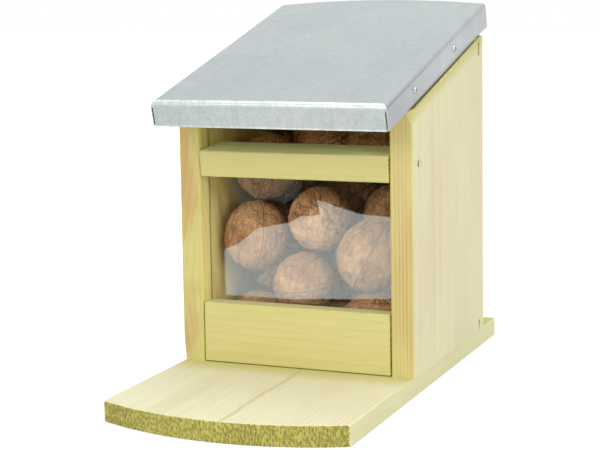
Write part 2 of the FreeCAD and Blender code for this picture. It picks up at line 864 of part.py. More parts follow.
def build_hinge_screws(label, places, placement=None):
    """Countersunk screws, flush with the face of their leaf."""
    screws = []
    for number, (head_place, direction) in enumerate(places):
        name = f"{label}_{number}"
        shank = make_cylinder(
            name + "_shank", "Sizes.hinge_screw_radius", "Sizes.hinge_screw_length", head_place, direction
        )
        head = make_cone(
            name + "_head",
            "Sizes.hinge_screw_head_radius",
            "Sizes.hinge_screw_radius",
            "Sizes.leaf_thickness",
            head_place,
            direction,
        )
        screws.append(fuse(name, [shank, head]))
    return keep(group(label + "_group", screws), label, placement)


def knuckle_spans(centre, is_frame):
    """Where along X the knuckles of one leaf run: two outer ones on the frame leaf, one on the lid leaf."""
    third = size.hinge_width / 3
    play = size.knuckle_play / 2
    start = centre - size.hinge_width / 2
    spans = [
        (start, start + third - play),
        (start + third + play, start + 2 * third - play),
        (start + 2 * third + play, start + size.hinge_width),
    ]
    return [spans[0], spans[2]] if is_frame else [spans[1]]


def leaf_shape(centre, is_frame, length, screw_places):
    """A leaf lying in the plane v = 0 with its knuckles round the hinge line, drilled for its screws.

    The leaf runs along +u from the hinge line. Its back face, which lies on the timber,
    is pin_offset above the hinge line.
    """
    bore_radius = size.hinge_pin_radius + size.hinge_pin_play
    plate_start = size.knuckle_radius + size.knuckle_play
    plate = Part.makeBox(
        size.hinge_width,
        length - plate_start,
        size.leaf_thickness,
        FreeCAD.Vector(centre - size.hinge_width / 2, plate_start, pin_offset - size.leaf_thickness),
    )
    leaf = plate
    bores = []
    for start, end in knuckle_spans(centre, is_frame):
        base = FreeCAD.Vector(start, 0, 0)
        leaf = leaf.fuse(Part.makeCylinder(size.knuckle_radius, end - start, base, X_AXIS))
        neck = Part.makeBox(
            end - start,
            plate_start + size.leaf_thickness,
            size.leaf_thickness,
            FreeCAD.Vector(start, 0, pin_offset - size.leaf_thickness - size.knuckle_play),
        )
        wrap = Part.makeBox(
            end - start, size.leaf_thickness, size.knuckle_play + size.leaf_thickness,
            FreeCAD.Vector(start, plate_start, pin_offset - size.leaf_thickness - size.knuckle_play),
        )
        leaf = leaf.fuse([neck, wrap])
        bores.append(Part.makeCylinder(bore_radius, end - start, base, X_AXIS))
    leaf = leaf.cut(bores)
    sinks = []
    for x in screw_places:
        face = FreeCAD.Vector(x, length - size.hinge_screw_edge, pin_offset - size.leaf_thickness)
        sinks.append(
            Part.makeCone(
                size.hinge_screw_head_radius + size.hole_play,
                size.hinge_screw_radius + size.hole_play,
                size.leaf_thickness,
                face,
                Z_AXIS,
            )
        )
    return leaf.cut(sinks).removeSplitter()


def build_hinges():
    """Both hinges: their leaves and pins as separate sub-parts."""
    half = size.hinge_screw_spacing / 2
    pin_place = FreeCAD.Vector(0, pin_y, pin_z)
    # the frame leaf hangs down the back board, the lid leaf runs back under the overhang
    frame_place = FreeCAD.Placement(pin_place, FreeCAD.Rotation(X_AXIS, -90))
    lid_place = FreeCAD.Placement(pin_place, FreeCAD.Rotation(X_AXIS, size.roof_pitch))
    for side_name, centre in zip(SIDES, hinge_centres):
        screws = [centre - half, centre + half]
        frame_leaf = doc.addObject("Part::Feature", f"frame_leaf_{side_name}_sheet")
        shape = leaf_shape(centre, True, size.frame_leaf_length, screws)
        frame_leaf.Shape = shape.mirror(ORIGIN, Z_AXIS)
        keep(frame_leaf, f"hinge_frame_leaf_{side_name}", frame_place)
        lid_leaf = doc.addObject("Part::Feature", f"lid_leaf_{side_name}_sheet")
        lid_leaf.Shape = leaf_shape(centre, False, size.lid_leaf_length, screws)
        keep(lid_leaf, f"hinge_lid_leaf_{side_name}", lid_place)
        start = centre - size.hinge_width / 2
        pin = make_cylinder(
            f"pin_{side_name}_rod",
            "Sizes.hinge_pin_radius",
            "Sizes.hinge_width",
            FreeCAD.Vector(start, pin_y, pin_z),
            X_AXIS,
        )
        heads = [
            make_cylinder(
                f"pin_{side_name}_head_{number}",
                "Sizes.pin_head_radius",
                "Sizes.pin_head_thickness",
                FreeCAD.Vector(x, pin_y, pin_z),
                X_AXIS,
            )
            for number, x in enumerate((start - size.pin_head_thickness, start + size.hinge_width))
        ]
        keep(fuse(f"pin_{side_name}_whole", [pin] + heads), f"hinge_pin_{side_name}")


# Walnuts: the first ones lie where they show through the window, the others settle behind them.
# Each is given by its place across the box, the space between it and the window, the height of
# its middle over the base board, all three in nut widths, its stem's turn and tilt in degrees,
# and its size against the usual one.
FRONT_NUTS = [
    (-0.96, 0.01, 0.51, 20, 10, 0.95),
    (0.96, 0.01, 0.52, 5, 5, 1.03),
    (-0.20, 0.03, 1.10, 85, 10, 0.96),
    (0.88, 0.03, 1.62, 15, 60, 1.04),
    (-1.01, 0.03, 1.83, 40, 85, 1.0),
    (-0.03, 0.28, 2.08, 120, 35, 0.98),
    (-0.98, 0.43, 2.83, 30, 75, 0.98),
    (0.90, 1.01, 1.97, 75, 20, 0.92),
    (0.70, 0.85, 3.24, 100, 5, 0.93),
    (-0.26, 1.06, 3.21, 30, 20, 0.95),
]
# The others: how far each one's stem turns and tilts from the one before, in degrees, how far it
# tilts at most, and their sizes against the usual one. They are tried in five columns and rows.
NEXT_TURN = 137.5
NEXT_TILT = 53
MOST_TILT = 45
OTHER_SIZES = [0.95, 0.98]
TRIAL_SHARES = [0, 0.25, 0.5, 0.75, 1]


class Nut:
    """A walnut: a spheroid about its stem, with a raised seam."""

    def __init__(self, x, y, z, turn, tilt, scale):
        self.centre = FreeCAD.Vector(x, y, z)
        self.rotation = FreeCAD.Rotation(Z_AXIS, turn).multiply(FreeCAD.Rotation(Y_AXIS, -tilt))
        self.stem = self.rotation.multVec(X_AXIS)
        self.seam_normal = self.rotation.multVec(Z_AXIS)
        self.half_length = scale * size.nut_length / 2
        self.half_width = scale * size.nut_width / 2

    def extent(self, axis):
        """How far the nut reaches from its centre towards a flat wall square to an axis."""
        along = axis.dot(self.stem) ** 2
        squares = along * self.half_length ** 2 + (1 - along) * self.half_width ** 2
        faces_seam = abs(axis.dot(self.seam_normal)) < size.nut_seam_reach
        return math.sqrt(squares) + (size.nut_seam_height if faces_seam else 0)

    def gap_to(self, other):
        """The free space to another nut along the line of centres."""
        line = other.centre - self.centre
        distance = line.Length
        if distance > 2 * size.nut_length:
            return distance
        direction = line / distance
        return distance - self.extent(direction) - other.extent(direction)

    def keep_between_walls(self):
        """Moves the nut clear of the side walls, the window and the back board."""
        room = half_inner - self.extent(X_AXIS) - size.nut_gap
        front = window_y + size.window_thickness + self.extent(Y_AXIS) + size.nut_gap
        back = back_board_y - self.extent(Y_AXIS) - size.nut_gap
        self.centre.x = max(-room, min(room, self.centre.x))
        self.centre.y = max(front, min(back, self.centre.y))

    def settle(self, others):
        """Raises the nut until it is clear of the floor and of the nuts that are already there."""
        floor = size.base_thickness + self.extent(Z_AXIS) + size.nut_gap
        self.centre.z = max(self.centre.z, floor)
        while any(self.gap_to(other) < size.nut_gap for other in others):
            self.centre.z += size.nut_settle_step

    def drop(self, others):
        """Lowers the nut until it all but touches the floor or another nut."""
        floor = size.base_thickness + self.extent(Z_AXIS) + size.nut_gap
        start = self.centre.z
        while self.centre.z > floor and all(self.gap_to(other) >= size.nut_gap for other in others):
            self.centre.z -= size.nut_settle_step
        if self.centre.z < start:
            self.centre.z += size.nut_settle_step

    def is_under_lid(self):
        """True if the closed lid clears the nut."""
        top = self.centre.z + self.extent(Z_AXIS)
        return top + size.nut_headroom < under_lid_z(self.centre.y)

    def is_clear_of_rail(self):
        """True if the nut lies behind the rail or wholly below it."""
        rail_back = wall_front_y + size.rail_depth
        if self.centre.y - self.extent(Y_AXIS) - size.nut_gap > rail_back:
            return True
        return self.centre.z + self.extent(Z_AXIS) + size.nut_gap < rail_z

    def shape(self):
        """The solid, in its place in the hopper."""
        ellipse = Part.Ellipse(ORIGIN, self.half_length, self.half_width)
        left_end = FreeCAD.Vector(-self.half_length, 0, 0)
        right_end = FreeCAD.Vector(self.half_length, 0, 0)
        outline = Part.Wire([ellipse.toShape(0, math.pi), Part.makeLine(left_end, right_end)])
        shell = Part.Face(outline).revolve(ORIGIN, X_AXIS, 360)
        rim = Part.Ellipse(
            ORIGIN, self.half_length + size.nut_seam_height, self.half_width + size.nut_seam_height
        )
        seam = Part.Face(Part.Wire([rim.toShape()])).extrude(Z_AXIS * size.nut_seam_width)
        seam.translate(Z_AXIS * (-size.nut_seam_width / 2))
        whole = shell.fuse(seam)
        whole.Placement = FreeCAD.Placement(self.centre, self.rotation)
        return whole


def fill_hopper():
    """All the nuts: the ones that show, then more wherever the next one comes to lie lowest."""
    window_back = window_y + size.window_thickness
    nuts = []
    for across, behind, up, turn, tilt, scale in FRONT_NUTS:
        nut = Nut(across * size.nut_width, 0.0, size.base_thickness + up * size.nut_width, turn, tilt, scale)
        nut.centre.y = window_back + behind * size.nut_width + nut.extent(Y_AXIS)
        nut.keep_between_walls()
        nut.settle(nuts)
        if nut.is_under_lid():
            nuts.append(nut)
    columns = [half_inner * (2 * share - 1) for share in TRIAL_SHARES]
    rows = [window_back + (back_board_y - window_back) * share for share in TRIAL_SHARES]
    while True:
        count = len(nuts)
        turn = count * NEXT_TURN
        tilt = count * NEXT_TILT % (2 * MOST_TILT) - MOST_TILT
        scale = OTHER_SIZES[count % len(OTHER_SIZES)]
        lowest = None
        for x in columns:
            for y in rows:
                nut = Nut(x, y, 0.0, turn, tilt, scale)
                nut.keep_between_walls()
                nut.settle(nuts)
                if not nut.is_under_lid() or not nut.is_clear_of_rail():
                    continue
                if lowest is None or nut.centre.z < lowest.centre.z:
                    lowest = nut
        if lowest is None:
            break
        nuts.append(lowest)
    for nut in sorted(nuts, key=lambda item: item.centre.z):
        nut.drop([other for other in nuts if other is not nut])
    return nuts


def build_walnuts():
    """The nuts as one group of separate solids."""
    nuts = fill_hopper()
    print("walnuts", len(nuts))
    filled = doc.addObject("Part::Feature", "walnut_solids")
    filled.Shape = Part.makeCompound([nut.shape() for nut in nuts])
    return keep(filled, "walnuts")


def build_side_nails():
    """The nails that hold the rail and the back board."""
    for label, board_name in (("rail_nails", "rail"), ("back_board_nails", "back")):
        nails = []
        for side_name, side in SIDES.items():
            for number, place in enumerate(side_nail_places(side)[board_name]):
                name = f"{board_name}_nail_{side_name}_{number}"
                nails.append(nail_body(name, place, X_AXIS * -side, "side_nail"))
        keep(group(label + "_group", nails), label)


def check_and_write():
    """Stops at a failed object, then writes one file for each sub-part."""
    doc.recompute()
    for obj in doc.Objects:
        if "Invalid" in obj.State or "Error" in obj.State:
            raise RuntimeError(f"{obj.Name} failed: {obj.State}")
    os.makedirs("parts", exist_ok=True)
    for label, obj in parts.items():
        if obj.Shape.isNull() or not obj.Shape.isValid():
            raise RuntimeError(f"{label} has no valid shape")
        obj.Shape.exportStep(f"parts/{label}.step")
        print(f"{label}: {len(obj.Shape.Solids)} solids, {obj.Shape.Volume / 1000:.2f} cm3")


build_base_board()
for wall_name, wall_side in SIDES.items():
    build_side_wall(wall_name, wall_side)
build_front_board()
build_top_rail()
build_back_board()
build_window()
build_lid_board()
build_cap()
build_cap_nails()
build_side_nails()
keep(group("base_screws_group", base_screw_tools(0)), "base_screws")
build_hinges()
build_hinge_screws("hinge_screws_frame", frame_screw_places())
build_hinge_screws("hinge_screws_lid", lid_screw_places(), lid_frame)
build_walnuts()
check_and_write()
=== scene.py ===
"""Looks of the squirrel feeder box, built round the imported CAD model."""

import logging
import math
from dataclasses import dataclass
from enum import Enum
from functools import reduce

import bmesh
import bpy
from mathutils import Matrix, Vector, noise

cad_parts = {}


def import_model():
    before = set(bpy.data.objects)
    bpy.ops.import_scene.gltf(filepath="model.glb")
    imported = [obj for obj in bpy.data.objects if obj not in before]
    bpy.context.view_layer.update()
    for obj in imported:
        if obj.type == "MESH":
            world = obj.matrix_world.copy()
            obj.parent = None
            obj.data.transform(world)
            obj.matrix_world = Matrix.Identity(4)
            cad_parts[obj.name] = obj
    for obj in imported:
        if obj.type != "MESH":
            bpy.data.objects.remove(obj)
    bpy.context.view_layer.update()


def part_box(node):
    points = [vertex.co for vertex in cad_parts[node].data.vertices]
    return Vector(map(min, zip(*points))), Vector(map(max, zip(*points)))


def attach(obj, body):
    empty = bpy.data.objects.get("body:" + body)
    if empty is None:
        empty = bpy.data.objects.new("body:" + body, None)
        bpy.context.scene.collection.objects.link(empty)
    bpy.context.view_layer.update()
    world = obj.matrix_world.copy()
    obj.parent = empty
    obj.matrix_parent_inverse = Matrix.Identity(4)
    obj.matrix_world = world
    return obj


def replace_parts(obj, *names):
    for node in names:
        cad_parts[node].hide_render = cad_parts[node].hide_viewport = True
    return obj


log = logging.getLogger("feeder")

Box = tuple[Vector, Vector]
Range = tuple[float, float]
Triple = tuple[float, float, float]
Colour = Triple
Material = bpy.types.Material
Node = bpy.types.Node
Object = bpy.types.Object
Shape = bmesh.types.BMesh
Socket = bpy.types.NodeSocket

MM = 0.001
SAME_PLACE = 1e-6
ROOF_PITCH = math.radians(15.5)
FRONT_TOP = 140 * MM
FRONT_DEPTH = -24 * MM
PART_WAY = (0.3, 0.7)
WHITE = (1.0, 1.0, 1.0)


class Grain(Enum):
    """The axis that a board's grain follows, and the turn that brings it onto the pattern's Z."""

    ACROSS = ("X", (0.0, -math.pi / 2, 0.0))
    DEEP = ("Y", (math.pi / 2, 0.0, 0.0))
    UPRIGHT = ("Z", (0.0, 0.0, 0.0))


class Group(Enum):
    """Names of the shared pattern groups."""

    TIMBER = "timber_pattern"
    WEATHER = "grime_pattern"


def linear(*shown: int) -> Colour:
    """Turns a colour as seen on screen, from 0 to 255, into linear light."""
    shares = [value / 255 for value in shown]
    return tuple(s / 12.92 if s <= 0.04045 else ((s + 0.055) / 1.055) ** 2.4 for s in shares)


class Tree:
    """A node tree that is filled by short calls."""

    COLUMN_WIDTH = 180

    def __init__(self, tree: bpy.types.NodeTree) -> None:
        """Takes the tree of a material, a world or a group."""
        self.tree = tree

    def add(self, kind: str, inputs: dict | None = None, **settings: object) -> Node:
        """Makes a node.

        Args:
            kind: the node's type name, without the leading ShaderNode.
            inputs: socket name or number to a value, or to a socket to link from.
            settings: properties of the node itself.

        Returns:
            The new node.
        """
        column = len(self.tree.nodes)
        node = self.tree.nodes.new(kind if kind.startswith("NodeGroup") else "ShaderNode" + kind)
        node.location = (column * self.COLUMN_WIDTH, 0)
        for name, value in settings.items():
            setattr(node, name, value)
        for key, value in (inputs or {}).items():
            self.feed(node.inputs[key], value)
        return node

    def feed(self, socket: Socket, value: object) -> None:
        """Links a socket to another one, or sets its value.

        Args:
            socket: the input to feed.
            value: an output socket, a number or a tuple.
        """
        if isinstance(value, Socket):
            self.tree.links.new(value, socket)
        elif socket.type == "RGBA" and len(value) == 3:
            socket.default_value = (*value, 1.0)
        else:
            socket.default_value = value

    def math(self, operation: str, *values: object) -> Socket:
        """One step of arithmetic on numbers or sockets."""
        return self.add("Math", dict(enumerate(values)), operation=operation).outputs[0]

    def times(self, *values: object) -> Socket:
        """The product of numbers or sockets."""
        return reduce(lambda first, second: self.math("MULTIPLY", first, second), values)

    def plus(self, *values: object) -> Socket:
        """The sum of numbers or sockets."""
        return reduce(lambda first, second: self.math("ADD", first, second), values)

    def vector(self, operation: str, *values: object) -> Socket:
        """One step of vector arithmetic: a vector, or for LENGTH a number."""
        node = self.add("VectorMath", dict(enumerate(values)), operation=operation)
        return node.outputs["Value" if operation == "LENGTH" else "Vector"]

    def split(self, vector: Socket) -> dict[str, Socket]:
        """A vector's X, Y and Z."""
        return dict(self.add("SeparateXYZ", {0: vector}).outputs.items())

    def place(self) -> Socket:
        """Where a point lies on the piece."""
        return self.add("TexCoord").outputs["Object"]

    def facing(self) -> dict[str, Socket]:
        """The X, Y and Z of the way that a point faces."""
        return self.split(self.add("TexCoord").outputs["Normal"])

    def noise(
        self, vector: Socket, scale: object, detail: float = 3.0, roughness: float = 0.5,
        output: str = "Fac",
    ) -> Socket:
        """A noise pattern with its scale in cycles per metre, as a number or as a Color."""
        inputs = {"Vector": vector, "Scale": scale, "Detail": detail, "Roughness": roughness}
        return self.add("TexNoise", inputs).outputs[output]

    def mix(self, share: object, first: object, second: object) -> Socket:
        """Blends two colours, where share is how much of the second one shows."""
        return self.add("Mix", {0: share, 6: first, 7: second}, data_type="RGBA").outputs[2]

    def span(
        self, value: object, low: float, high: float, start: float = 0.0, end: float = 1.0
    ) -> Socket:
        """Maps the values from low to high smoothly onto those from start to end."""
        inputs = {"Value": value, "From Min": low, "From Max": high, "To Min": start, "To Max": end}
        return self.add("MapRange", inputs, interpolation_type="SMOOTHSTEP").outputs[0]

    def bump(self, height: object, depth: float, strength: float = 1.0) -> Socket:
        """Relief from a height pattern, in which 1 stands for the depth in metres."""
        inputs = {"Height": height, "Distance": depth, "Strength": strength}
        return self.add("Bump", inputs).outputs["Normal"]

    def group(self, group: Group, inputs: dict) -> dict[str, Socket]:
        """What a shared pattern group gives for these inputs."""
        node = self.add("Group", inputs, node_tree=bpy.data.node_groups[group.value])
        return dict(node.outputs.items())

    def principled(self, inputs: dict) -> Socket:
        """A Principled shader."""
        return self.add("BsdfPrincipled", inputs).outputs[0]

    def backdrop_rays(self) -> Socket:
        """Tells the rays that show the surroundings: straight, mirrored or through glass.

        Returns:
            1 for such a ray, and 0 for any other.
        """
        rays = self.add("LightPath").outputs
        mirrored = self.math("MAXIMUM", rays["Is Camera Ray"], rays["Is Glossy Ray"])
        return self.math("MAXIMUM", mirrored, rays["Is Transmission Ray"])


def new_group(name: Group, inputs: dict[str, float | None], outputs: str) -> tuple[Tree, dict, Node]:
    """Starts a shader group with named sockets.

    Args:
        name: the group's name.
        inputs: socket name to its usual value, or to None for a vector.
        outputs: the names of the numbers that it gives, with spaces between.

    Returns:
        The group's tree, its inputs' sockets by name, and its output node.
    """
    group = bpy.data.node_groups.new(name.value, "ShaderNodeTree")
    for label, usual in inputs.items():
        kind = "NodeSocketVector" if usual is None else "NodeSocketFloat"
        socket = group.interface.new_socket(label, in_out="INPUT", socket_type=kind)
        if usual is not None:
            socket.default_value = usual
    for label in outputs.split():
        group.interface.new_socket(label, in_out="OUTPUT", socket_type="NodeSocketFloat")
    tree = Tree(group)
    return tree, dict(tree.add("NodeGroupInput").outputs.items()), tree.add("NodeGroupOutput")


def build_timber_group() -> None:
    """Softwood as a solid pattern: rings about the pattern's Z, fine fibres, blotches and pits."""
    usual = {"Ring Spacing": 0.003, "Waviness": 0.006, "Bend": 0.12, "Blotch Scale": 26.0}
    tree, given, result = new_group(Group.TIMBER, {"Vector": None, **usual}, "Ring Fibre Blotch Pits")
    place = given["Vector"]
    drawn_out = tree.add("CombineXYZ", {0: 1.0, 1: 1.0, 2: given["Bend"]}).outputs[0]
    slow = tree.vector("MULTIPLY", place, drawn_out)
    drift = tree.vector("SUBTRACT", tree.noise(slow, 22.0, 2.0, output="Color"), (0.5, 0.5, 0.5))
    sway = tree.add("VectorMath", {0: drift, "Scale": given["Waviness"]}, operation="SCALE").outputs[0]
    flat = tree.vector("MULTIPLY", tree.vector("ADD", slow, sway), (1.0, 1.0, 0.0))
    turns = tree.math("DIVIDE", tree.vector("LENGTH", flat), given["Ring Spacing"])
    uneven = tree.noise(tree.vector("MULTIPLY", place, (1.0, 1.0, 0.05)), 60.0, 1.0)
    saw = tree.math("FRACT", tree.plus(turns, uneven))
    ring = tree.times(tree.span(saw, 0.25, 0.88), tree.span(saw, 0.9, 1.0, 1.0, 0.0))
    fibre = tree.noise(tree.vector("MULTIPLY", place, (1.0, 1.0, 0.025)), 1500.0, 3.0, 0.6)
    blotch = tree.noise(tree.vector("MULTIPLY", place, (1.0, 1.0, 0.35)), given["Blotch Scale"])
    upright = tree.vector("MULTIPLY", place, (1.0, 0.3, 0.3))
    cells = tree.add("TexVoronoi", {"Vector": upright, "Scale": 1650.0}).outputs["Distance"]
    ragged = tree.times(tree.noise(upright, 2600.0, 2.0, 0.7), 0.7)
    worn = tree.times(tree.noise(place, 36.0, 1.0), 0.4)
    pits = tree.span(tree.plus(cells, ragged, worn), 0.74, 1.3, 1.0, 0.0)
    for name, value in (("Ring", ring), ("Fibre", fibre), ("Blotch", blotch), ("Pits", pits)):
        tree.feed(result.inputs[name], value)


def build_weather_group() -> None:
    """Dirt in broad soft patches with fine specks."""
    usual = {"Patch Scale": 30.0, "Speck Scale": 900.0}
    tree, given, result = new_group(Group.WEATHER, {"Vector": None, **usual}, "Patch Specks")
    patch = tree.noise(given["Vector"], given["Patch Scale"], 4.0)
    speck = tree.noise(given["Vector"], given["Speck Scale"], 1.0)
    tree.feed(result.inputs["Patch"], tree.span(patch, 0.35, 0.7))
    tree.feed(result.inputs["Specks"], tree.span(speck, 0.66, 0.76))


class Finish:
    """What every finish shares: a name, and a shader that fills a material's tree."""

    name: str
    tree: Tree

    def shader(self) -> Socket:
        """Each finish builds its own shader."""
        raise NotImplementedError

    def material(self) -> bpy.types.Material:
        """Builds the material.

        Returns:
            The finished material.
        """
        material = bpy.data.materials.new(self.name)
        material.use_nodes = True
        material.node_tree.nodes.clear()
        self.tree = Tree(material.node_tree)
        self.tree.add("OutputMaterial", {"Surface": self.shader()})
        return material


@dataclass
class TimberFinish(Finish):
    """Planed softwood with a yellow-green preservative tint, deeper where it faces the front."""

    name: str
    grain: Grain
    heart: Triple
    box: Box
    face: Colour = linear(227, 223, 182)
    face_late: Colour = linear(212, 198, 148)
    face_rings: float = 0.4
    face_streaks: float = 0.3
    front: Colour = linear(219, 210, 141)
    front_late: Colour = linear(196, 178, 102)
    front_rings: float = 0.35
    streaks: float = 0.3
    # Painted light: the walls' inner faces take a brighter, more saturated colour for the yellowish bounce
    # light inside the hopper.
    inner_bounce: Colour = linear(248, 231, 153)
    inner_bounce_late: Colour = linear(214, 174, 110)
    inner_reach: float = 0.0
    end: Colour = linear(197, 190, 97)
    end_dark: Colour = linear(94, 84, 20)
    # Painted shade on the walls' top ends under the cap.
    end_shade: Colour = linear(140, 138, 92)
    end_shade_reach: float = 0.0
    # Painted shade: the dark colour for splits, the nail's dent and the joint at a board's foot.
    dark: Colour = linear(64, 58, 30)
    shadow_crease: float | None = None
    shadow_crease_share: float = 0.9
    shade_pockets: tuple[tuple[Triple, Triple], ...] = ()
    pocket_shade_share: float = 0.5
    rim: Colour = linear(206, 206, 112)
    rim_share: float = 0.5
    rim_reach: Range = (0.38 * MM, 1.9 * MM)
    # Painted shade warmed by bounce light on the base's top near the box's foot.
    foot: Colour = linear(202, 194, 104)
    foot_shade_share: float = 0.0
    foot_shade_reach: float = 22 * MM
    flank: Colour = linear(214, 214, 150)
    flank_share: float = 0.0
    # Painted shade on the walls' outer faces just under the roof's edge.
    roof_shade: Colour = linear(196, 190, 104)
    roof_shade_share: float = 0.0
    roof_shade_reach: float = 8 * MM
    ring_spacing: float = 3.2 * MM
    waviness: float = 6 * MM
    bend: float = 0.12
    blotch_scale: float = 26.0
    thread: Colour = linear(150, 128, 74)
    thread_share: float = 0.1
    bold: Colour = linear(200, 188, 116)
    bold_line: float | None = None
    bold_share: float = 0.55
    bold_width: Range = (0.3 * MM, 2.0 * MM)
    bold_stray: Range = (-1.6 * MM, 1.6 * MM)
    relief: float = 0.14 * MM

    def read(self) -> dict[str, Socket]:
        """Sets up what the shader reads at each point of the board.

        Returns:
            Sockets by name: X, Y and Z, Ring, Fibre, Blotch and Pits, the object coordinates,
            the threads, how far aside a point lies, and which way it faces.
        """
        tree = self.tree
        place = tree.place()
        facing = tree.facing()
        axis, turn = self.grain.value
        heart = tuple(-value * MM for value in self.heart)
        centred = tree.add("Mapping", {"Vector": place, "Location": heart}).outputs[0]
        settings = {
            "Vector": tree.add("Mapping", {"Vector": centred, "Rotation": turn}).outputs[0],
            "Ring Spacing": self.ring_spacing,
            "Waviness": self.waviness,
            "Bend": self.bend,
            "Blotch Scale": self.blotch_scale,
        }
        seen = tree.split(place) | tree.group(Group.TIMBER, settings)
        ragged = tree.span(tree.noise(place, 700.0, 2.0), *PART_WAY, -0.12, 0.12)
        across = tree.math("ABSOLUTE", facing[axis])
        return seen | {
            "place": place,
            "thread": tree.span(seen["Fibre"], 0.35, 0.75),
            "aside": tree.math("ABSOLUTE", seen["X"]),
            "front": tree.span(tree.times(facing["Y"], -1.0), 0.35, 0.8),
            "end": tree.span(tree.plus(across, ragged), 0.62, 0.78),
            "side": tree.span(tree.math("ABSOLUTE", facing["X"]), 0.5, 0.8),
            "top": tree.math("GREATER_THAN", facing["Z"], 0.7),
        }

    def planed(self, seen: dict[str, Socket]) -> Socket:
        """The colour along the grain, with its rings, stains and threads.

        Args:
            seen: what the shader reads.

        Returns:
            The colour.
        """
        tree = self.tree
        # Painted bounce light: inner faces take the inner colours.
        inner_bounce = tree.span(seen["aside"], self.inner_reach, self.inner_reach + 0.3 * MM, 1.0, 0.0)
        early = tree.mix(seen["front"], tree.mix(inner_bounce, self.face, self.inner_bounce), self.front)
        late = tree.mix(seen["front"], tree.mix(inner_bounce, self.face_late, self.inner_bounce_late), self.front_late)
        patch = tree.span(seen["Blotch"], 0.4, 0.68)
        ring_share = tree.span(seen["front"], 0.0, 1.0, self.face_rings, self.front_rings)
        lines = tree.times(seen["Ring"], ring_share, tree.plus(tree.times(patch, 0.65), 0.35))
        streaks = tree.span(seen["front"], 0.0, 1.0, self.face_streaks, self.streaks)
        stained = tree.mix(tree.times(patch, streaks), tree.mix(lines, early, late), late)
        return tree.mix(tree.times(seen["thread"], self.thread_share), stained, self.thread)

    def sawn(self, seen: dict[str, Socket]) -> Socket:
        """The colour of a sawn end, which is pitted, with painted shade where it lies under the cap.

        Args:
            seen: what the shader reads.

        Returns:
            The colour.
        """
        tree = self.tree
        reach = self.end_shade_reach
        under_cap = tree.span(seen["aside"], reach - 0.2 * MM, reach, 1.0, 0.0)
        behind = tree.span(seen["Y"], FRONT_DEPTH + 3 * MM, FRONT_DEPTH + 5 * MM)
        pitted = tree.mix(tree.times(seen["Pits"], 0.66), self.end, self.end_dark)
        ringed = tree.mix(tree.times(seen["Ring"], 0.15), pitted, self.end_dark)
        return tree.mix(tree.times(under_cap, behind), ringed, self.end_shade)

    def tints(self, seen: dict[str, Socket]) -> list[tuple[Socket, Colour]]:
        """Tints over the colour: the preservative gathered near the edges of front faces, a darker bold
        line along the top, a tint on side faces, painted shade warmed by bounce light on the base's top at
        the box's foot, and painted shade on the walls' outer faces under the roof.

        Args:
            seen: what the shader reads.

        Returns:
            Masks and colours, in the order in which they lie over each other.
        """
        tree = self.tree
        left = []
        for number, axis in ((0, "X"), (2, "Z")):
            low, high = (corner[number] for corner in self.box)
            off = tree.math("ABSOLUTE", tree.math("SUBTRACT", seen[axis], (low + high) / 2))
            left.append(tree.math("SUBTRACT", (high - low) / 2, off))
        near = tree.span(tree.math("MINIMUM", *left), *self.rim_reach, self.rim_share, 0.0)
        # Painted shade on the base's top in front of the box.
        foot = tree.span(seen["Y"], FRONT_DEPTH - self.foot_shade_reach, FRONT_DEPTH, 0.0, self.foot_shade_share)
        # Painted shade below the roof's edge, fading downward.
        rise = tree.times(tree.math("SUBTRACT", seen["Y"], FRONT_DEPTH), math.tan(ROOF_PITCH))
        gap = tree.math("SUBTRACT", tree.plus(rise, FRONT_TOP), seen["Z"])
        roof_shade = tree.span(gap, 0.0, self.roof_shade_reach, self.roof_shade_share, 0.0)
        tints = [
            (tree.times(near, seen["front"]), self.rim),
            (tree.times(foot, seen["top"]), self.foot),
            (tree.times(seen["side"], self.flank_share), self.flank),
            (tree.times(roof_shade, seen["side"]), self.roof_shade),
        ]
        if self.bold_line is not None:
            stray = tree.span(tree.noise(seen["place"], 24.0, 2.0), *PART_WAY, *self.bold_stray)
            off = tree.plus(tree.math("SUBTRACT", seen["X"], self.bold_line), stray)
            line = tree.span(tree.math("ABSOLUTE", off), *self.bold_width, self.bold_share, 0.0)
            tints.append((tree.times(line, seen["top"]), self.bold))
        return tints

    def shade(self, seen: dict[str, Socket]) -> Socket | float:
        """The painted shade in the splits, in the nail's dent and in the joint at the board's foot.

        Args:
            seen: what the shader reads.

        Returns:
            The mask.
        """
        tree = self.tree
        shade = 0.0
        for low, high in self.shade_pockets:
            inside = self.pocket_shade_share
            for number, axis in enumerate("XYZ"):
                above = tree.math("GREATER_THAN", seen[axis], low[number] * MM)
                below = tree.math("LESS_THAN", seen[axis], high[number] * MM)
                inside = tree.times(inside, above, below)
            shade = tree.math("MAXIMUM", shade, inside)
        if self.shadow_crease is None:
            return shade
        ends = (self.shadow_crease - 0.3 * MM, self.shadow_crease + 0.5 * MM)
        return tree.math("MAXIMUM", shade, tree.span(seen["Z"], *ends, self.shadow_crease_share, 0.0))

    def shader(self) -> Socket:
        """Builds the shader.

        Returns:
            The shader.
        """
        tree = self.tree
        seen = self.read()
        colour = self.planed(seen)
        for mask, tint in self.tints(seen):
            colour = tree.mix(mask, colour, tint)
        bare = tree.mix(seen["end"], colour, self.sawn(seen))
        sunk = tree.times(seen["Pits"], seen["end"], -1.6)
        height = tree.plus(tree.times(seen["thread"], 0.3), sunk, tree.times(seen["Ring"], 0.25))
        finish = {
            "Base Color": tree.mix(self.shade(seen), bare, self.dark),
            "Roughness": tree.span(seen["Ring"], 0.0, 1.0, 0.66, 0.54),
            "Specular IOR Level": 0.3,
            "Normal": tree.bump(height, self.relief),
        }
        return tree.principled(finish)


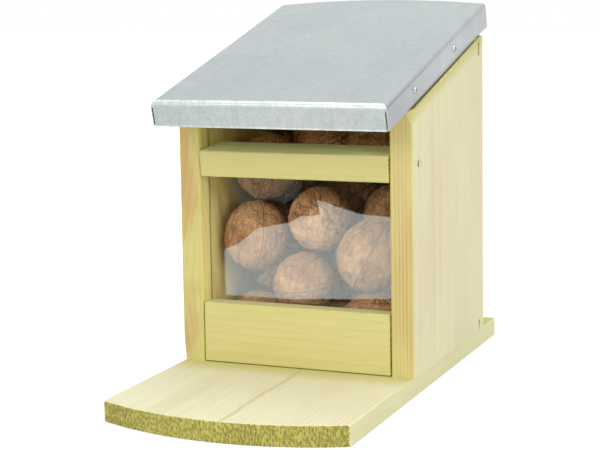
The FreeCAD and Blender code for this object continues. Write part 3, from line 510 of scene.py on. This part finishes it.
@dataclass
class GalvanisedFinish(Finish):
    """Dull zinc-coated sheet, mottled in soft cloudy patches of small crystals, with painted light on its
    faces, bend and hem.
    """

    FACING_FLANGE = (0.8, 0.95)
    name: str = "galvanised_sheet"
    # Painted light and shade: one sheet, with the top and each flange in their own tone for how the lamps
    # fall, and the side flanges darker towards the front.
    light: Colour = linear(170, 180, 180)
    front: Colour = linear(184, 191, 187)
    side: Colour = linear(166, 171, 172)
    side_shade: Colour = linear(126, 130, 132)
    shade_reach: Range = (-52 * MM, 34 * MM)
    # Painted highlight along the lower edge of the front flange.
    hem_highlight: Colour = linear(226, 231, 228)
    hem_height: float = 1.1 * MM
    hem_highlight_share: float = 0.8
    # Painted highlight on the front bend.
    bend: Colour = linear(248, 250, 249)
    dark: Colour = linear(150, 158, 160)
    scuff: Colour = linear(126, 134, 134)
    waviness: float = 0.5 * MM

    def plain(self, place: Socket) -> Socket:
        """The colour before the mottle, with painted light: the top and each flange in their own lit tones,
        painted shade on the side flanges towards the front, and painted highlights on the front bend and
        along the hem.

        Args:
            place: the object coordinates.

        Returns:
            The colour.
        """
        tree = self.tree
        facing, seen = tree.facing(), tree.split(place)
        forward = tree.times(facing["Y"], -1.0)
        in_front = tree.span(forward, *self.FACING_FLANGE)
        aside = tree.span(tree.math("ABSOLUTE", facing["X"]), *self.FACING_FLANGE)
        sides = tree.mix(tree.span(seen["Y"], *self.shade_reach), self.side_shade, self.side)
        flat = tree.mix(aside, tree.mix(in_front, self.light, self.front), sides)
        # Painted highlight where the face turns from the top down into the front flange.
        bend_highlight_mask = tree.times(tree.span(forward, 0.3, 0.5), tree.span(forward, 0.82, 0.93, 1.0, 0.0))
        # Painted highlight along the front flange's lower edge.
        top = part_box("roof_cap")[0].z + self.hem_height
        hem_highlight_mask = tree.span(seen["Z"], top - 0.4 * self.hem_height, top, self.hem_highlight_share, 0.0)
        return tree.mix(tree.times(hem_highlight_mask, in_front), tree.mix(bend_highlight_mask, flat, self.bend), self.hem_highlight)

    def shader(self) -> Socket:
        """Builds the shader.

        Returns:
            The shader.
        """
        tree = self.tree
        place = tree.place()
        specks = tree.group(Group.WEATHER, {"Vector": place, "Speck Scale": 520.0})["Specks"]
        crystals = tree.add("TexVoronoi", {"Vector": place, "Scale": 300.0}).outputs["Color"]
        tone = tree.split(crystals)["X"]
        cloud = tree.noise(place, 14.0, 5.0, 0.6)
        mottle = tree.noise(place, 480.0, 3.0, 0.6)
        rolled = tree.noise(tree.vector("MULTIPLY", place, (1.0, 0.05, 0.05)), 700.0, 2.0)
        share = tree.plus(
            tree.span(cloud, 0.35, 0.68, -0.07, 0.33),
            tree.times(tone, 0.18),
            tree.span(mottle, *PART_WAY, -0.02, 0.32),
            tree.span(rolled, *PART_WAY, -0.1, 0.1),
        )
        mottled = tree.mix(tree.math("MAXIMUM", share, 0.0), self.plain(place), self.dark)
        finish = {
            "Base Color": tree.mix(tree.times(specks, 0.2), mottled, self.scuff),
            "Metallic": 0.55,
            "Roughness": tree.plus(tree.times(tone, 0.08), 0.3, tree.times(cloud, 0.1)),
            "Coat Weight": 0.4,
            "Coat Roughness": 0.16,
            "Normal": tree.bump(tree.noise(place, 38.0, 2.0), self.waviness, 0.3),
        }
        return tree.principled(finish)


@dataclass
class ClearSheetFinish(Finish):
    """A clear plastic sheet, a little wavy, that lets shadow rays through."""

    name: str = "clear_sheet"
    colour: Colour = linear(250, 252, 252)
    shadow: Colour = (0.97, 0.98, 0.98)
    refraction: float = 1.49
    waviness: float = 0.05 * MM

    def shader(self) -> Socket:
        """Builds the shader.

        Returns:
            The shader.
        """
        tree = self.tree
        finish = {
            "Base Color": self.colour,
            "Transmission Weight": 1.0,
            "IOR": self.refraction,
            "Roughness": 0.0,
            "Normal": tree.bump(tree.noise(tree.place(), 26.0, 1.0), self.waviness, 0.3),
        }
        clear = tree.add("BsdfTransparent", {"Color": self.shadow}).outputs[0]
        in_shadow = tree.add("LightPath").outputs["Is Shadow Ray"]
        return tree.add("MixShader", {0: in_shadow, 1: tree.principled(finish), 2: clear}).outputs[0]


@dataclass
class ShellFinish(Finish):
    """Dry walnut shell, tan on its ridges and brown in its furrows and cracks, partly the shell's own
    colour and partly painted shade.
    """

    CRACKS = ((240.0, 0.09, 0.75), (760.0, 0.16, 0.4))
    name: str = "walnut_shell"
    ridge: Colour = linear(212, 164, 114)
    warm: Colour = linear(186, 130, 80)
    furrow: Colour = linear(78, 48, 28)
    old: Colour = linear(140, 100, 66)
    old_share: float = 0.4
    wander: float = 4 * MM
    relief: float = 0.4 * MM

    def deepest(self) -> Socket:
        """How deep a place lies: the furrows that the mesh carries, and cracks in two sizes.

        Returns:
            The depth, from 0 to 1.
        """
        tree = self.tree
        own = tree.add("Attribute", attribute_name=WalnutPile.PLACE_LAYER).outputs["Vector"]
        drift = tree.noise(own, 240.0, 2.0, output="Color")
        sway = tree.add("VectorMath", {0: drift, "Scale": self.wander}, operation="SCALE").outputs[0]
        along = tree.vector("MULTIPLY", tree.vector("ADD", own, sway), (0.4, 1.0, 1.0))
        deepest = tree.add("Attribute", attribute_name=WalnutPile.DEPTH_LAYER).outputs["Fac"]
        for scale, width, strength in self.CRACKS:
            inputs = {"Vector": along, "Scale": scale}
            cells = tree.add("TexVoronoi", inputs, feature="DISTANCE_TO_EDGE").outputs["Distance"]
            cracks = tree.span(cells, 0.02, width, strength, 0.0)
            present = tree.span(tree.noise(own, 0.45 * scale, 2.0), 0.46, 0.6)
            deepest = tree.math("MAXIMUM", deepest, tree.times(cracks, present))
        return deepest

    def shader(self) -> Socket:
        """Builds the shader.

        Returns:
            The shader.
        """
        tree = self.tree
        place = tree.place()
        fine = tree.noise(place, 620.0, 4.0, 0.6)
        patchy = tree.mix(tree.span(tree.noise(place, 90.0), 0.38, 0.66), self.ridge, self.warm)
        deepest = self.deepest()
        share = tree.times(deepest, tree.span(fine, 0.25, 0.7, 0.6, 1.0))
        # Darkens by depth: partly the shell's own darker hollows, partly painted shade in the furrows and
        # cracks.
        furrowed = tree.mix(share, patchy, self.furrow)
        specked = tree.mix(tree.span(fine, 0.54, 0.78, 0.0, 0.3), furrowed, self.furrow)
        tone = tree.add("Attribute", attribute_name=WalnutPile.TONE_LAYER).outputs["Fac"]
        height = tree.math("SUBTRACT", tree.times(fine, 0.7), deepest)
        finish = {
            "Base Color": tree.mix(tree.times(tone, self.old_share), specked, self.old),
            "Roughness": tree.span(fine, 0.2, 0.8, 0.52, 0.74),
            "Specular IOR Level": 0.3,
            "Normal": tree.bump(height, self.relief, 0.9),
        }
        return tree.principled(finish)


@dataclass
class SteelFinish(Finish):
    """Zinc-plated steel of nails, screws and hinges, with painted shade on the heads of some nails."""

    name: str
    colour: Colour = linear(188, 188, 182)
    dirt: Colour = linear(112, 104, 92)
    roughness: float = 0.38
    dirt_share: float = 0.35
    shade: Colour = linear(84, 76, 58)
    # Painted shade on the rear of a domed nail head.
    lee_shade_share: float = 0.0
    # Painted shade of the dent on the front part of a sunk nail's head.
    sunk_shade_before: float | None = None
    sunk_shade_share: float = 0.95
    relief: float = 0.03 * MM

    def shader(self) -> Socket:
        """Builds the shader.

        Returns:
            The shader.
        """
        tree = self.tree
        place = tree.place()
        patch = tree.group(Group.WEATHER, {"Vector": place, "Patch Scale": 260.0})["Patch"]
        dirty = tree.mix(tree.times(patch, self.dirt_share), self.colour, self.dirt)
        # Painted shade on the side of the head that faces back.
        lee_shade = tree.span(tree.facing()["Y"], -0.42, -0.22, 0.0, self.lee_shade_share)
        colour = tree.mix(lee_shade, dirty, self.shade)
        # Painted shade from the dent round the sunk nail.
        if self.sunk_shade_before is not None:
            ends = (self.sunk_shade_before - 0.3 * MM, self.sunk_shade_before + 0.3 * MM)
            sunk = tree.span(tree.split(place)["Y"], *ends, self.sunk_shade_share, 0.0)
            colour = tree.mix(sunk, colour, self.shade)
        brushed = tree.noise(tree.vector("MULTIPLY", place, (0.1, 1.0, 1.0)), 2600.0, 2.0)
        finish = {
            "Base Color": colour,
            "Metallic": 0.9,
            "Roughness": tree.plus(tree.times(patch, 0.2), self.roughness),
            "Normal": tree.bump(brushed, self.relief),
        }
        return tree.principled(finish)


def dress(name: str, material: Material) -> None:
    """Gives a CAD node its material.

    Args:
        name: the node.
        material: what it is finished with.
    """
    node = bpy.data.objects[name]
    if not node.material_slots:
        node.data.materials.append(material)
    for slot in node.material_slots:
        slot.material = material
    log.info("dressed %s with %s", name, material.name)


def new_object(name: str, shape: Shape, material: Material | None = None) -> Object:
    """Turns a bmesh into an object of the scene.

    Args:
        name: the object's name.
        shape: its mesh, which is freed.
        material: its finish, if it has one.

    Returns:
        The new object.
    """
    mesh = bpy.data.meshes.new(name)
    shape.to_mesh(mesh)
    shape.free()
    if material is not None:
        mesh.materials.append(material)
    made = bpy.data.objects.new(name, mesh)
    bpy.context.scene.collection.objects.link(made)
    return made


def add_piece(name: str, shape: Shape, material: Material) -> Object:
    """Turns a bmesh into a piece of the box.

    Args:
        name: the piece's name.
        shape: its mesh, which is freed.
        material: its finish.

    Returns:
        The new object.
    """
    piece = new_object(name, shape, material)
    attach(piece, "box")
    log.info("built %s: %d faces", name, len(piece.data.polygons))
    return piece


def copy_of(name: str) -> Shape:
    """A merged copy of a CAD node, ready to be worked on.

    Args:
        name: the node.

    Returns:
        The copy.
    """
    shape = bmesh.new()
    shape.from_mesh(bpy.data.objects[name].data)
    bmesh.ops.remove_doubles(shape, verts=shape.verts, dist=SAME_PLACE)
    return shape


@dataclass
class Carpentry:
    """The boards, each in its own cut of timber, and the marks on the side walls."""

    wear_height: float = 17 * MM
    wear_width: float = 1.9 * MM
    wear_depth: float = 26 * MM
    crack_width: float = 6.5 * MM
    crack_length: float = 10 * MM
    crack_lean: float = 1 * MM
    crack_depth: float = 4 * MM
    crack_inset: float = 8.4 * MM
    foot_crack_width: float = 2.4 * MM
    foot_crack_length: float = 5.5 * MM
    foot_crack_depth: float = 2 * MM
    foot_crack_inset: float = 8 * MM
    chip_width: float = 3.8 * MM
    chip_height: float = 8.2 * MM
    chip_depth: float = 3.2 * MM
    dent_radius: float = 3.1 * MM
    dent_depth: float = 0.8 * MM
    dent_taper: float = 0.6
    spare: float = 1 * MM

    def cuts(self) -> dict[str, dict[str, object]]:
        """What sets each board's timber apart, with hearts and the boxes of painted shade in millimetres.

        Returns:
            The fields of each board's finish, by the board's name.
        """
        base = dict(
            name="timber_base", grain=Grain.DEEP, heart=(-30, 0, -36), face=linear(236, 231, 197),
            face_rings=0.36, face_streaks=0.17, front=linear(226, 222, 160), foot_shade_share=0.75,
            flank_share=0.45, ring_spacing=2.5 * MM, waviness=7 * MM, bold_line=5 * MM,
        )
        wall = dict(
            grain=Grain.UPRIGHT, inner_reach=51.4 * MM, roof_shade_share=0.7, end_shade_reach=62 * MM
        )
        left = dict(
            name="timber_left", heart=(-112, 18, 0), front=linear(214, 206, 133),
            front_late=linear(196, 146, 94), front_rings=0.3, streaks=0.6, blotch_scale=70.0,
            rim_share=0.8, ring_spacing=3.4 * MM, waviness=42 * MM, bend=0.4,
        )
        right = dict(
            name="timber_right", heart=(-30, -4, 0), face_late=linear(220, 202, 168),
            face_rings=0.7, face_streaks=0.4, front_late=linear(192, 146, 90), front_rings=0.68,
            streaks=0.4, rim_share=0.3, end=linear(236, 231, 168), end_dark=linear(190, 170, 100),
            ring_spacing=1.9 * MM, waviness=3 * MM,
            # Painted shade inside the top split, the foot split and the nail's dent.
            shade_pockets=(
                ((50, 80, 150), (62.85, 91, 168.6)),
                ((50, 80, 10.2), (62.85, 91, 18)),
                ((60, -17.6, 111.6), (62.92, -15.4, 117.4)),
            ),
        )
        front = dict(
            name="timber_front", grain=Grain.ACROSS, heart=(0, 18, -12), face=linear(222, 216, 158),
            # The crease is a painted shadow along the front board's foot.
            face_streaks=0.25, front_rings=0.22, streaks=0.15, shadow_crease=10.4 * MM,
        )
        rail = dict(
            name="timber_rail", grain=Grain.ACROSS, heart=(0, 12, 146), face=linear(232, 240, 186),
            face_streaks=0.12, front=linear(212, 203, 136), front_rings=0.12, streaks=0.12,
        )
        return {
            "base_board": base,
            "side_wall_left": wall | left,
            "side_wall_right": wall | right,
            "front_board": front,
            "top_rail": rail,
            "back_board": dict(name="timber_back", grain=Grain.UPRIGHT, heart=(12, 146, 0)),
            "lid_board": dict(name="timber_lid", grain=Grain.DEEP, heart=(18, 30, 90)),
        }

    def slice_off(self, shape: Shape, points: tuple[Vector, Vector, Vector]) -> None:
        """Cuts a corner off along the plane through three points and closes the cut.

        Args:
            shape: the board.
            points: three points, counter-clockwise as seen from the side that goes.
        """
        first, second, third = points
        bmesh.ops.bisect_plane(
            shape,
            geom=[*shape.verts, *shape.edges, *shape.faces],
            plane_co=first,
            plane_no=(second - first).cross(third - first).normalized(),
            clear_outer=True,
        )
        rim = [edge for edge in shape.edges if edge.is_boundary]
        bmesh.ops.holes_fill(shape, edges=rim, sides=0)

    def notch(self, top: Vector, bottom: Vector, width: float, depth: float) -> Shape:
        """A wedge that opens a split in a wall's outer face, widest at its top.

        Args:
            top: the split's upper end on the face.
            bottom: its lower end.
            width: its width at the top.
            depth: how far it goes in.

        Returns:
            The wedge's mesh.
        """
        shape = bmesh.new()
        bmesh.ops.create_cube(shape, size=1.0)
        for vertex in shape.verts:
            is_top, is_deep = vertex.co.z > 0, vertex.co.x < 0
            half = width / 2 if is_top else width / 8
            half *= 0.1 if is_deep else 1.0
            inward = -depth if is_deep else self.spare
            end = top if is_top else bottom
            vertex.co = end + Vector((inward, half if vertex.co.y > 0 else -half, 0.0))
        bmesh.ops.recalc_face_normals(shape, faces=shape.faces)
        return shape

    def dent(self, centre: Vector) -> Shape:
        """The recess round a nail's head in the right wall's outer face.

        Args:
            centre: the nail's place on that face.

        Returns:
            The cutter's mesh.
        """
        shape = bmesh.new()
        spare = 0.2 * self.spare
        bmesh.ops.create_cone(
            shape,
            cap_ends=True,
            segments=32,
            radius1=self.dent_radius * self.dent_taper,
            radius2=self.dent_radius,
            depth=self.dent_depth + spare,
        )
        place = Matrix.Translation(centre + Vector(((spare - self.dent_depth) / 2, 0, 0)))
        turn = Matrix.Rotation(math.pi / 2, 4, "Y")
        bmesh.ops.transform(shape, matrix=place @ turn, verts=shape.verts)
        return shape

    def carve(self, piece: Object, cutters: tuple[Shape, ...]) -> None:
        """Cuts wedges out of a piece's mesh.

        Args:
            piece: the piece.
            cutters: the wedges, which are freed.
        """
        for number, cutter in enumerate(cutters):
            tool = new_object(f"{piece.name}_cutter_{number}", cutter)
            modifier = piece.modifiers.new("carve", "BOOLEAN")
            modifier.object = tool
            modifier.operation = "DIFFERENCE"
            bpy.context.view_layer.update()
            seen = piece.evaluated_get(bpy.context.evaluated_depsgraph_get())
            carved = bpy.data.meshes.new_from_object(seen)
            piece.modifiers.remove(modifier)
            piece.data = carved
            mesh = tool.data
            bpy.data.objects.remove(tool)
            bpy.data.meshes.remove(mesh)

    def build_left_wall(self, material: Material) -> None:
        """The left wall, worn away at the foot of its outer front corner.

        Args:
            material: the wall's finish.
        """
        low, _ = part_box("side_wall_left")
        shape = copy_of("side_wall_left")
        points = (
            low + Vector((0, 0, self.wear_height)),
            low + Vector((0, self.wear_depth, 0)),
            low + Vector((self.wear_width, 0, 0)),
        )
        self.slice_off(shape, points)
        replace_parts(add_piece("worn_wall_left", shape, material), "side_wall_left")

    def build_right_wall(self, material: Material) -> None:
        """The right wall, chipped in front, dented by its nail, and split near the back's nails.

        Args:
            material: the wall's finish.
        """
        low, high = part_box("side_wall_right")
        shape = copy_of("side_wall_right")
        corner = Vector((high.x, low.y, FRONT_TOP))
        points = (
            corner - Vector((self.chip_width, 0, 0)),
            corner - Vector((0, 0, self.chip_height)),
            corner + Vector((0, self.chip_depth, self.chip_depth * math.tan(ROOF_PITCH))),
        )
        self.slice_off(shape, points)
        piece = add_piece("worn_wall_right", shape, material)
        top = high + Vector((0, -self.crack_inset, self.spare))
        tip = top + Vector((0, self.crack_lean, -self.crack_length))
        foot = Vector((high.x, high.y - self.foot_crack_inset, low.z))
        foot_top = foot + Vector((0, 0, self.foot_crack_length))
        foot_end = foot - Vector((0, 0, self.spare))
        nail_low, nail_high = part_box("rail_nails")
        nail = (nail_low + nail_high) / 2
        nail.x = high.x
        cutters = (
            self.notch(top, tip, self.crack_width, self.crack_depth),
            self.notch(foot_top, foot_end, self.foot_crack_width, self.foot_crack_depth),
            self.dent(nail),
        )
        self.carve(piece, cutters)
        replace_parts(piece, "side_wall_right")

    def build(self) -> None:
        """Dresses every board, and builds the worn walls."""
        cuts = self.cuts().items()
        materials = {name: TimberFinish(box=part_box(name), **cut).material() for name, cut in cuts}
        self.build_left_wall(materials.pop("side_wall_left"))
        self.build_right_wall(materials.pop("side_wall_right"))
        for name, material in materials.items():
            dress(name, material)


@dataclass
class WalnutPile:
    """The nuts in the hopper, each one modelled where its plain solid lies."""

    DEPTH_LAYER = "furrow_depth"
    PLACE_LAYER = "shell_place"
    TONE_LAYER = "shell_tone"
    FURROWS = ((1.0, 1.0), (2.1, 0.6))
    STEP = (7.3, 3.1, 5.7)
    BEND_SEED = 1795621054
    seam_height: float = 0.45 * MM
    seam_width: float = 1.0 * MM
    seam_line: float = 0.28 * MM
    furrow_width: float = 0.13
    furrow_depth: float = 0.8 * MM
    lump_depth: float = 0.9 * MM
    tip_height: float = 0.5 * MM
    tip_angle: float = 0.2
    clearance: float = 0.1 * MM
    shown: int = 6
    hidden: int = 5
    shown_depth: float = 52 * MM

    def islands(self) -> list[list[Vector]]:
        """Splits the node that holds all the nuts.

        Returns:
            The corner points of each nut.
        """
        shape = copy_of("walnuts")
        waiting = set(shape.verts)
        found = []
        while waiting:
            front = [waiting.pop()]
            island = []
            while front:
                vertex = front.pop()
                island.append(vertex.co.copy())
                others = {edge.other_vert(vertex) for edge in vertex.link_edges} & waiting
                waiting -= others
                front.extend(others)
            found.append(island)
        shape.free()
        return sorted(found, key=lambda points: tuple(round(c, 4) for c in self.centre_of(points)))

    def centre_of(self, points: list[Vector]) -> Vector:
        """The middle of the box round some points."""
        low, high = (Vector(pick(row) for row in zip(*points)) for pick in (min, max))
        return (low + high) / 2

    def frame_of(self, points: list[Vector]) -> tuple[Matrix, float, float]:
        """Finds how a nut lies.

        Args:
            points: the corner points of its plain solid.

        Returns:
            The nut's placement, with its stem along X and its seam square to Z, its half length
            and its half width.
        """
        centre = self.centre_of(points)
        stem_tip = max(points, key=lambda point: (point - centre).length)
        stem = (stem_tip - centre).normalized()
        aside = [point - centre - stem * (point - centre).dot(stem) for point in points]
        rim = max(aside, key=lambda offset: offset.length)
        side = rim.normalized()
        turn = Matrix((stem, side, stem.cross(side))).transposed().to_4x4()
        return Matrix.Translation(centre) @ turn, (stem_tip - centre).length, rim.length

    def furrow_at(self, way: Vector, shift: Vector) -> float:
        """How deep the furrows are at one place of a shell.

        Args:
            way: the direction from the nut's middle.
            shift: where this nut's own pattern starts.

        Returns:
            The depth, from 0 to 1.
        """
        stretched = Vector((way.x * 2.0, way.y * 3.6, way.z * 3.6)) + shift
        bent = stretched + noise.noise_vector(stretched * 1.3) * 0.45
        furrow = 0.0
        for scale, strength in self.FURROWS:
            near, other = noise.voronoi(bent * scale)[0][:2]
            line = math.exp(-(((other - near) / (self.furrow_width * scale**0.5)) ** 2))
            present = 0.8 + 1.5 * noise.noise(stretched * 0.8 * scale - shift)
            furrow = max(furrow, strength * line * max(0.2, min(1.0, present)))
        return furrow

    def nut(self, points: list[Vector], seed: int) -> Shape:
        """Models one nut.

        Args:
            points: the corner points of its plain solid.
            seed: a number that makes its furrows its own.

        Returns:
            The nut's mesh, in place.
        """
        placement, half_length, half_width = self.frame_of(points)
        length = half_length - self.seam_height - self.clearance
        width = half_width - self.seam_height - self.clearance
        is_shown = placement.translation.y < self.shown_depth
        shape = bmesh.new()
        level = self.shown if is_shown else self.hidden
        bmesh.ops.create_icosphere(shape, subdivisions=level, radius=1.0)
        depth_layer = shape.verts.layers.float.new(self.DEPTH_LAYER)
        tone_layer = shape.verts.layers.float.new(self.TONE_LAYER)
        place_layer = shape.verts.layers.float_vector.new(self.PLACE_LAYER)
        shift = Vector(seed * step for step in self.STEP)
        for vertex in shape.verts:
            way = vertex.co.normalized()
            radius = 1 / math.sqrt((way.x / length) ** 2 + (1 - way.x**2) / width**2)
            off_seam = abs(way.z) * radius
            seam = math.exp(-((off_seam / self.seam_width) ** 2))
            joint = math.exp(-((off_seam / self.seam_line) ** 2))
            furrow = max(self.furrow_at(way, shift) * (1 - 0.85 * seam), joint)
            off_tip = math.acos(max(-1.0, min(1.0, way.x)))
            tip = math.exp(-((off_tip / self.tip_angle) ** 2))
            lumps = self.lump_depth * noise.noise(way * 2.4 + shift)
            vertex[place_layer] = way * radius + shift * MM * 10
            vertex[depth_layer] = furrow
            vertex[tone_layer] = (seed * 0.37) % 1.0
            radius += self.seam_height * seam + self.tip_height * tip - self.furrow_depth * furrow
            vertex.co = way * (radius + min(0.0, lumps))
        bmesh.ops.transform(shape, matrix=placement, verts=shape.verts)
        for face in shape.faces:
            face.smooth = True
        return shape

    def build(self) -> None:
        """Builds the pile, one piece for each nut."""
        # Without a seed, noise_vector takes its start from the clock and bends the furrows anew.
        noise.seed_set(self.BEND_SEED)
        material = ShellFinish().material()
        for number, points in enumerate(self.islands()):
            name = f"walnut_{number:02d}"
            piece = add_piece(name, self.nut(points, number + 1), material)
            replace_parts(piece, "walnuts")


@dataclass
class Metalwork:
    """The cap, its nails, the hinges and every other fastener."""

    zinc: Colour = linear(226, 226, 222)
    leaf_zinc: Colour = linear(202, 200, 190)
    pin_zinc: Colour = linear(176, 176, 172)
    # How far behind the nail's middle the painted shade of its dent reaches.
    dent_start: float = 0.9 * MM

    def build(self) -> None:
        """Dresses the metal nodes."""
        nail_low, nail_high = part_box("rail_nails")
        sunk_shade_before = (nail_low.y + nail_high.y) / 2 + self.dent_start
        nail = {"colour": self.zinc, "roughness": 0.26}
        sides = ("left", "right")
        leaves = [f"hinge_{part}_leaf_{side}" for side in sides for part in ("frame", "lid")]
        pins = [f"hinge_pin_{side}" for side in sides]
        screws = ["base_screws", "hinge_screws_frame", "hinge_screws_lid"]
        finishes = (
            (SteelFinish("cap_nail_steel", dirt_share=0.4, lee_shade_share=0.85, **nail), ["cap_nails"]),
            (SteelFinish("sunk_nail_steel", sunk_shade_before=sunk_shade_before, **nail), ["rail_nails"]),
            (SteelFinish("nail_steel", dirt_share=0.6, **nail), ["back_board_nails"]),
            (SteelFinish("screw_steel", roughness=0.32), screws),
            (SteelFinish("hinge_steel", self.leaf_zinc, roughness=0.34, dirt_share=0.15), leaves),
            (SteelFinish("pin_steel", self.pin_zinc, roughness=0.25), pins),
        )
        dress("roof_cap", GalvanisedFinish().material())
        for finish, names in finishes:
            material = finish.material()
            for name in names:
                dress(name, material)


@dataclass
class FloorPaper(Finish):
    """Pale paper that shows white round the object and keeps its shadow."""

    name: str = "floor_paper"
    colour: Colour = (0.72, 0.72, 0.72)
    fade: Range = (0.15, 0.7)
    glow: Range = (0.45, 1.0)

    def shader(self) -> Socket:
        """Builds the shader.

        Returns:
            The shader.
        """
        tree = self.tree
        glow = tree.span(tree.vector("LENGTH", tree.place()), *self.fade, *self.glow)
        finish = {
            "Base Color": self.colour,
            "Roughness": 0.9,
            "Specular IOR Level": 0.0,
            "Emission Color": WHITE,
            "Emission Strength": tree.times(tree.backdrop_rays(), glow),
        }
        return tree.principled(finish)


@dataclass
class ReflectionGlowCard(Finish):
    """A glowing sheet, no lamp, that only mirrored rays see: it paints reflections in the clear window."""

    name: str
    strength: float
    colour: Colour = (0.82, 0.9, 0.87)

    def shader(self) -> Socket:
        """Builds the shader.

        Returns:
            The shader.
        """
        tree = self.tree
        glow = tree.add("Emission", {"Color": self.colour, "Strength": self.strength}).outputs[0]
        clear = tree.add("BsdfTransparent").outputs[0]
        rays = tree.add("LightPath").outputs
        mirrored = tree.times(rays["Is Glossy Ray"], rays["Is Singular Ray"])
        return tree.add("MixShader", {0: mirrored, 1: clear, 2: glow}).outputs[0]


@dataclass
class Studio:
    """Floor, lamps, surroundings, the glowing cards that paint reflections in the window, and the camera.
    """

    VEIL_EDGE = (
        (-444, -824), (-393, -819), (-338, -798), (-304, -722), (-277, -645), (-269, -598),
        (-297, -625), (-306, -608), (-300, -569), (-281, -517), (-266, -462),
    )
    BRIGHT_EDGE = (
        (-128, -186), (-212, -356), (-212, -375), (-220, -412), (-230, -457), (-224, -469),
        (-217, -494), (-222, -528), (-208, -539), (-247, -626), (-234, -615), (-216, -594),
        (-191, -569), (-176, -554), (-146, -545), (-60, -540), (60, -380), (-28, -218),
    )
    CARD_HEIGHT = 1.5 * MM
    DARK_SIZE = (1.6, 1.6, 1.0)
    DARK_PLACE = (-0.3, -0.97, 0.75 * MM)
    SENSOR_WIDTH = 36.0
    focal_px: float = 1508.35
    frame_px: float = 600.0
    centre_px: tuple[float, float] = (347.64, 168.5)
    middle_px: tuple[float, float] = (300.0, 225.0)
    azimuth: float = math.radians(21.511)
    pitch: float = math.radians(6.778)
    roll: float = math.radians(-0.742)
    eye: Triple = (0.2965, -0.70191, 0.19866)
    target: Triple = (0.0, 0.0, 0.08)
    floor_size: float = 12.0
    sky_strength: float = 0.5

    def build(self) -> None:
        """Sets up everything that isn't part of the object."""
        self.build_floor()
        self.build_cards()
        self.build_sky()
        self.build_lamps()
        self.build_camera()

    def build_floor(self) -> None:
        """A large pale floor."""
        shape = bmesh.new()
        bmesh.ops.create_grid(shape, x_segments=1, y_segments=1, size=self.floor_size / 2)
        new_object("floor", shape, FloorPaper().material())

    def build_cards(self) -> None:
        """Glowing sheets before the feeder that only the window mirrors, for painted reflections: a bright
        one, a dim veil, and a dark one that frames them.
        """
        for name, edge, strength in (("bright", self.BRIGHT_EDGE, 3.8), ("veil", self.VEIL_EDGE, 0.45)):
            sheet = bmesh.new()
            corners = [sheet.verts.new((x * MM, y * MM, self.CARD_HEIGHT)) for x, y in edge]
            bmesh.ops.contextual_create(sheet, geom=corners)
            bmesh.ops.triangulate(sheet, faces=sheet.faces)
            reflection_glow = ReflectionGlowCard(f"{name}_paper", strength).material()
            new_object(f"{name}_card", sheet, reflection_glow)
        # The dark card paints a dark reflection round the two glowing ones.
        dark = bmesh.new()
        bmesh.ops.create_grid(dark, x_segments=1, y_segments=1, size=0.5)
        bmesh.ops.scale(dark, vec=self.DARK_SIZE, verts=dark.verts)
        bmesh.ops.translate(dark, vec=self.DARK_PLACE, verts=dark.verts)
        new_object("dark_card", dark, ReflectionGlowCard("dark_paper", 0.03).material())

    def build_sky(self) -> None:
        """White surroundings, dimmer as a light than they look."""
        world = bpy.data.worlds.new("studio")
        world.use_nodes = True
        world.node_tree.nodes.clear()
        tree = Tree(world.node_tree)
        seen = tree.times(tree.backdrop_rays(), 1.0 - self.sky_strength)
        strength = tree.plus(seen, self.sky_strength)
        sky = tree.add("Background", {"Color": WHITE, "Strength": strength})
        tree.add("OutputWorld", {"Surface": sky.outputs[0]})
        bpy.context.scene.world = world

    def build_lamps(self) -> None:
        """A key from the front left, a fill from the right and a broad lamp overhead."""
        lamps = (
            ("key", (-0.35, -1.5, 0.75), 0.9, 10.3),
            ("fill", (1.5, -0.55, 0.7), 0.9, 10.0),
            ("overhead", (0.1, 0.1, 1.6), 1.2, 11.6),
        )
        for name, place, width, power in lamps:
            data = bpy.data.lights.new(name, "AREA")
            data.shape = "SQUARE"
            data.size = width
            data.energy = power
            lamp = bpy.data.objects.new(name, data)
            lamp.location = place
            lamp.rotation_mode = "QUATERNION"
            lamp.rotation_quaternion = (Vector(self.target) - Vector(place)).to_track_quat("-Z", "Y")
            bpy.context.scene.collection.objects.link(lamp)

    def build_camera(self) -> None:
        """The camera, where the photograph's straight edges put it."""
        data = bpy.data.cameras.new("camera")
        data.sensor_width = self.SENSOR_WIDTH
        data.lens = self.focal_px * data.sensor_width / self.frame_px
        data.shift_x = (self.middle_px[0] - self.centre_px[0]) / self.frame_px
        data.shift_y = (self.centre_px[1] - self.middle_px[1]) / self.frame_px
        data.clip_start = 0.01
        data.clip_end = 100.0
        flat = math.cos(self.pitch)
        back = Vector((math.sin(self.azimuth) * flat, -math.cos(self.azimuth) * flat, math.sin(self.pitch)))
        level = Vector((math.cos(self.azimuth), math.sin(self.azimuth), 0.0))
        upward = back.cross(level)
        right = level * math.cos(self.roll) + upward * math.sin(self.roll)
        up = upward * math.cos(self.roll) - level * math.sin(self.roll)
        camera = bpy.data.objects.new("camera", data)
        turn = Matrix((right, up, back)).transposed().to_4x4()
        camera.matrix_world = Matrix.Translation(Vector(self.eye)) @ turn
        bpy.context.scene.collection.objects.link(camera)
        bpy.context.scene.camera = camera


def main() -> None:
    """Builds the feeder's looks round the CAD model."""
    logging.basicConfig(level=logging.INFO, format="%(message)s")
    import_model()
    bpy.context.scene.view_settings.view_transform = "Standard"
    build_timber_group()
    build_weather_group()
    Carpentry().build()
    Metalwork().build()
    dress("window_sheet", ClearSheetFinish().material())
    WalnutPile().build()
    Studio().build()


if __name__ == "__main__":
    main()
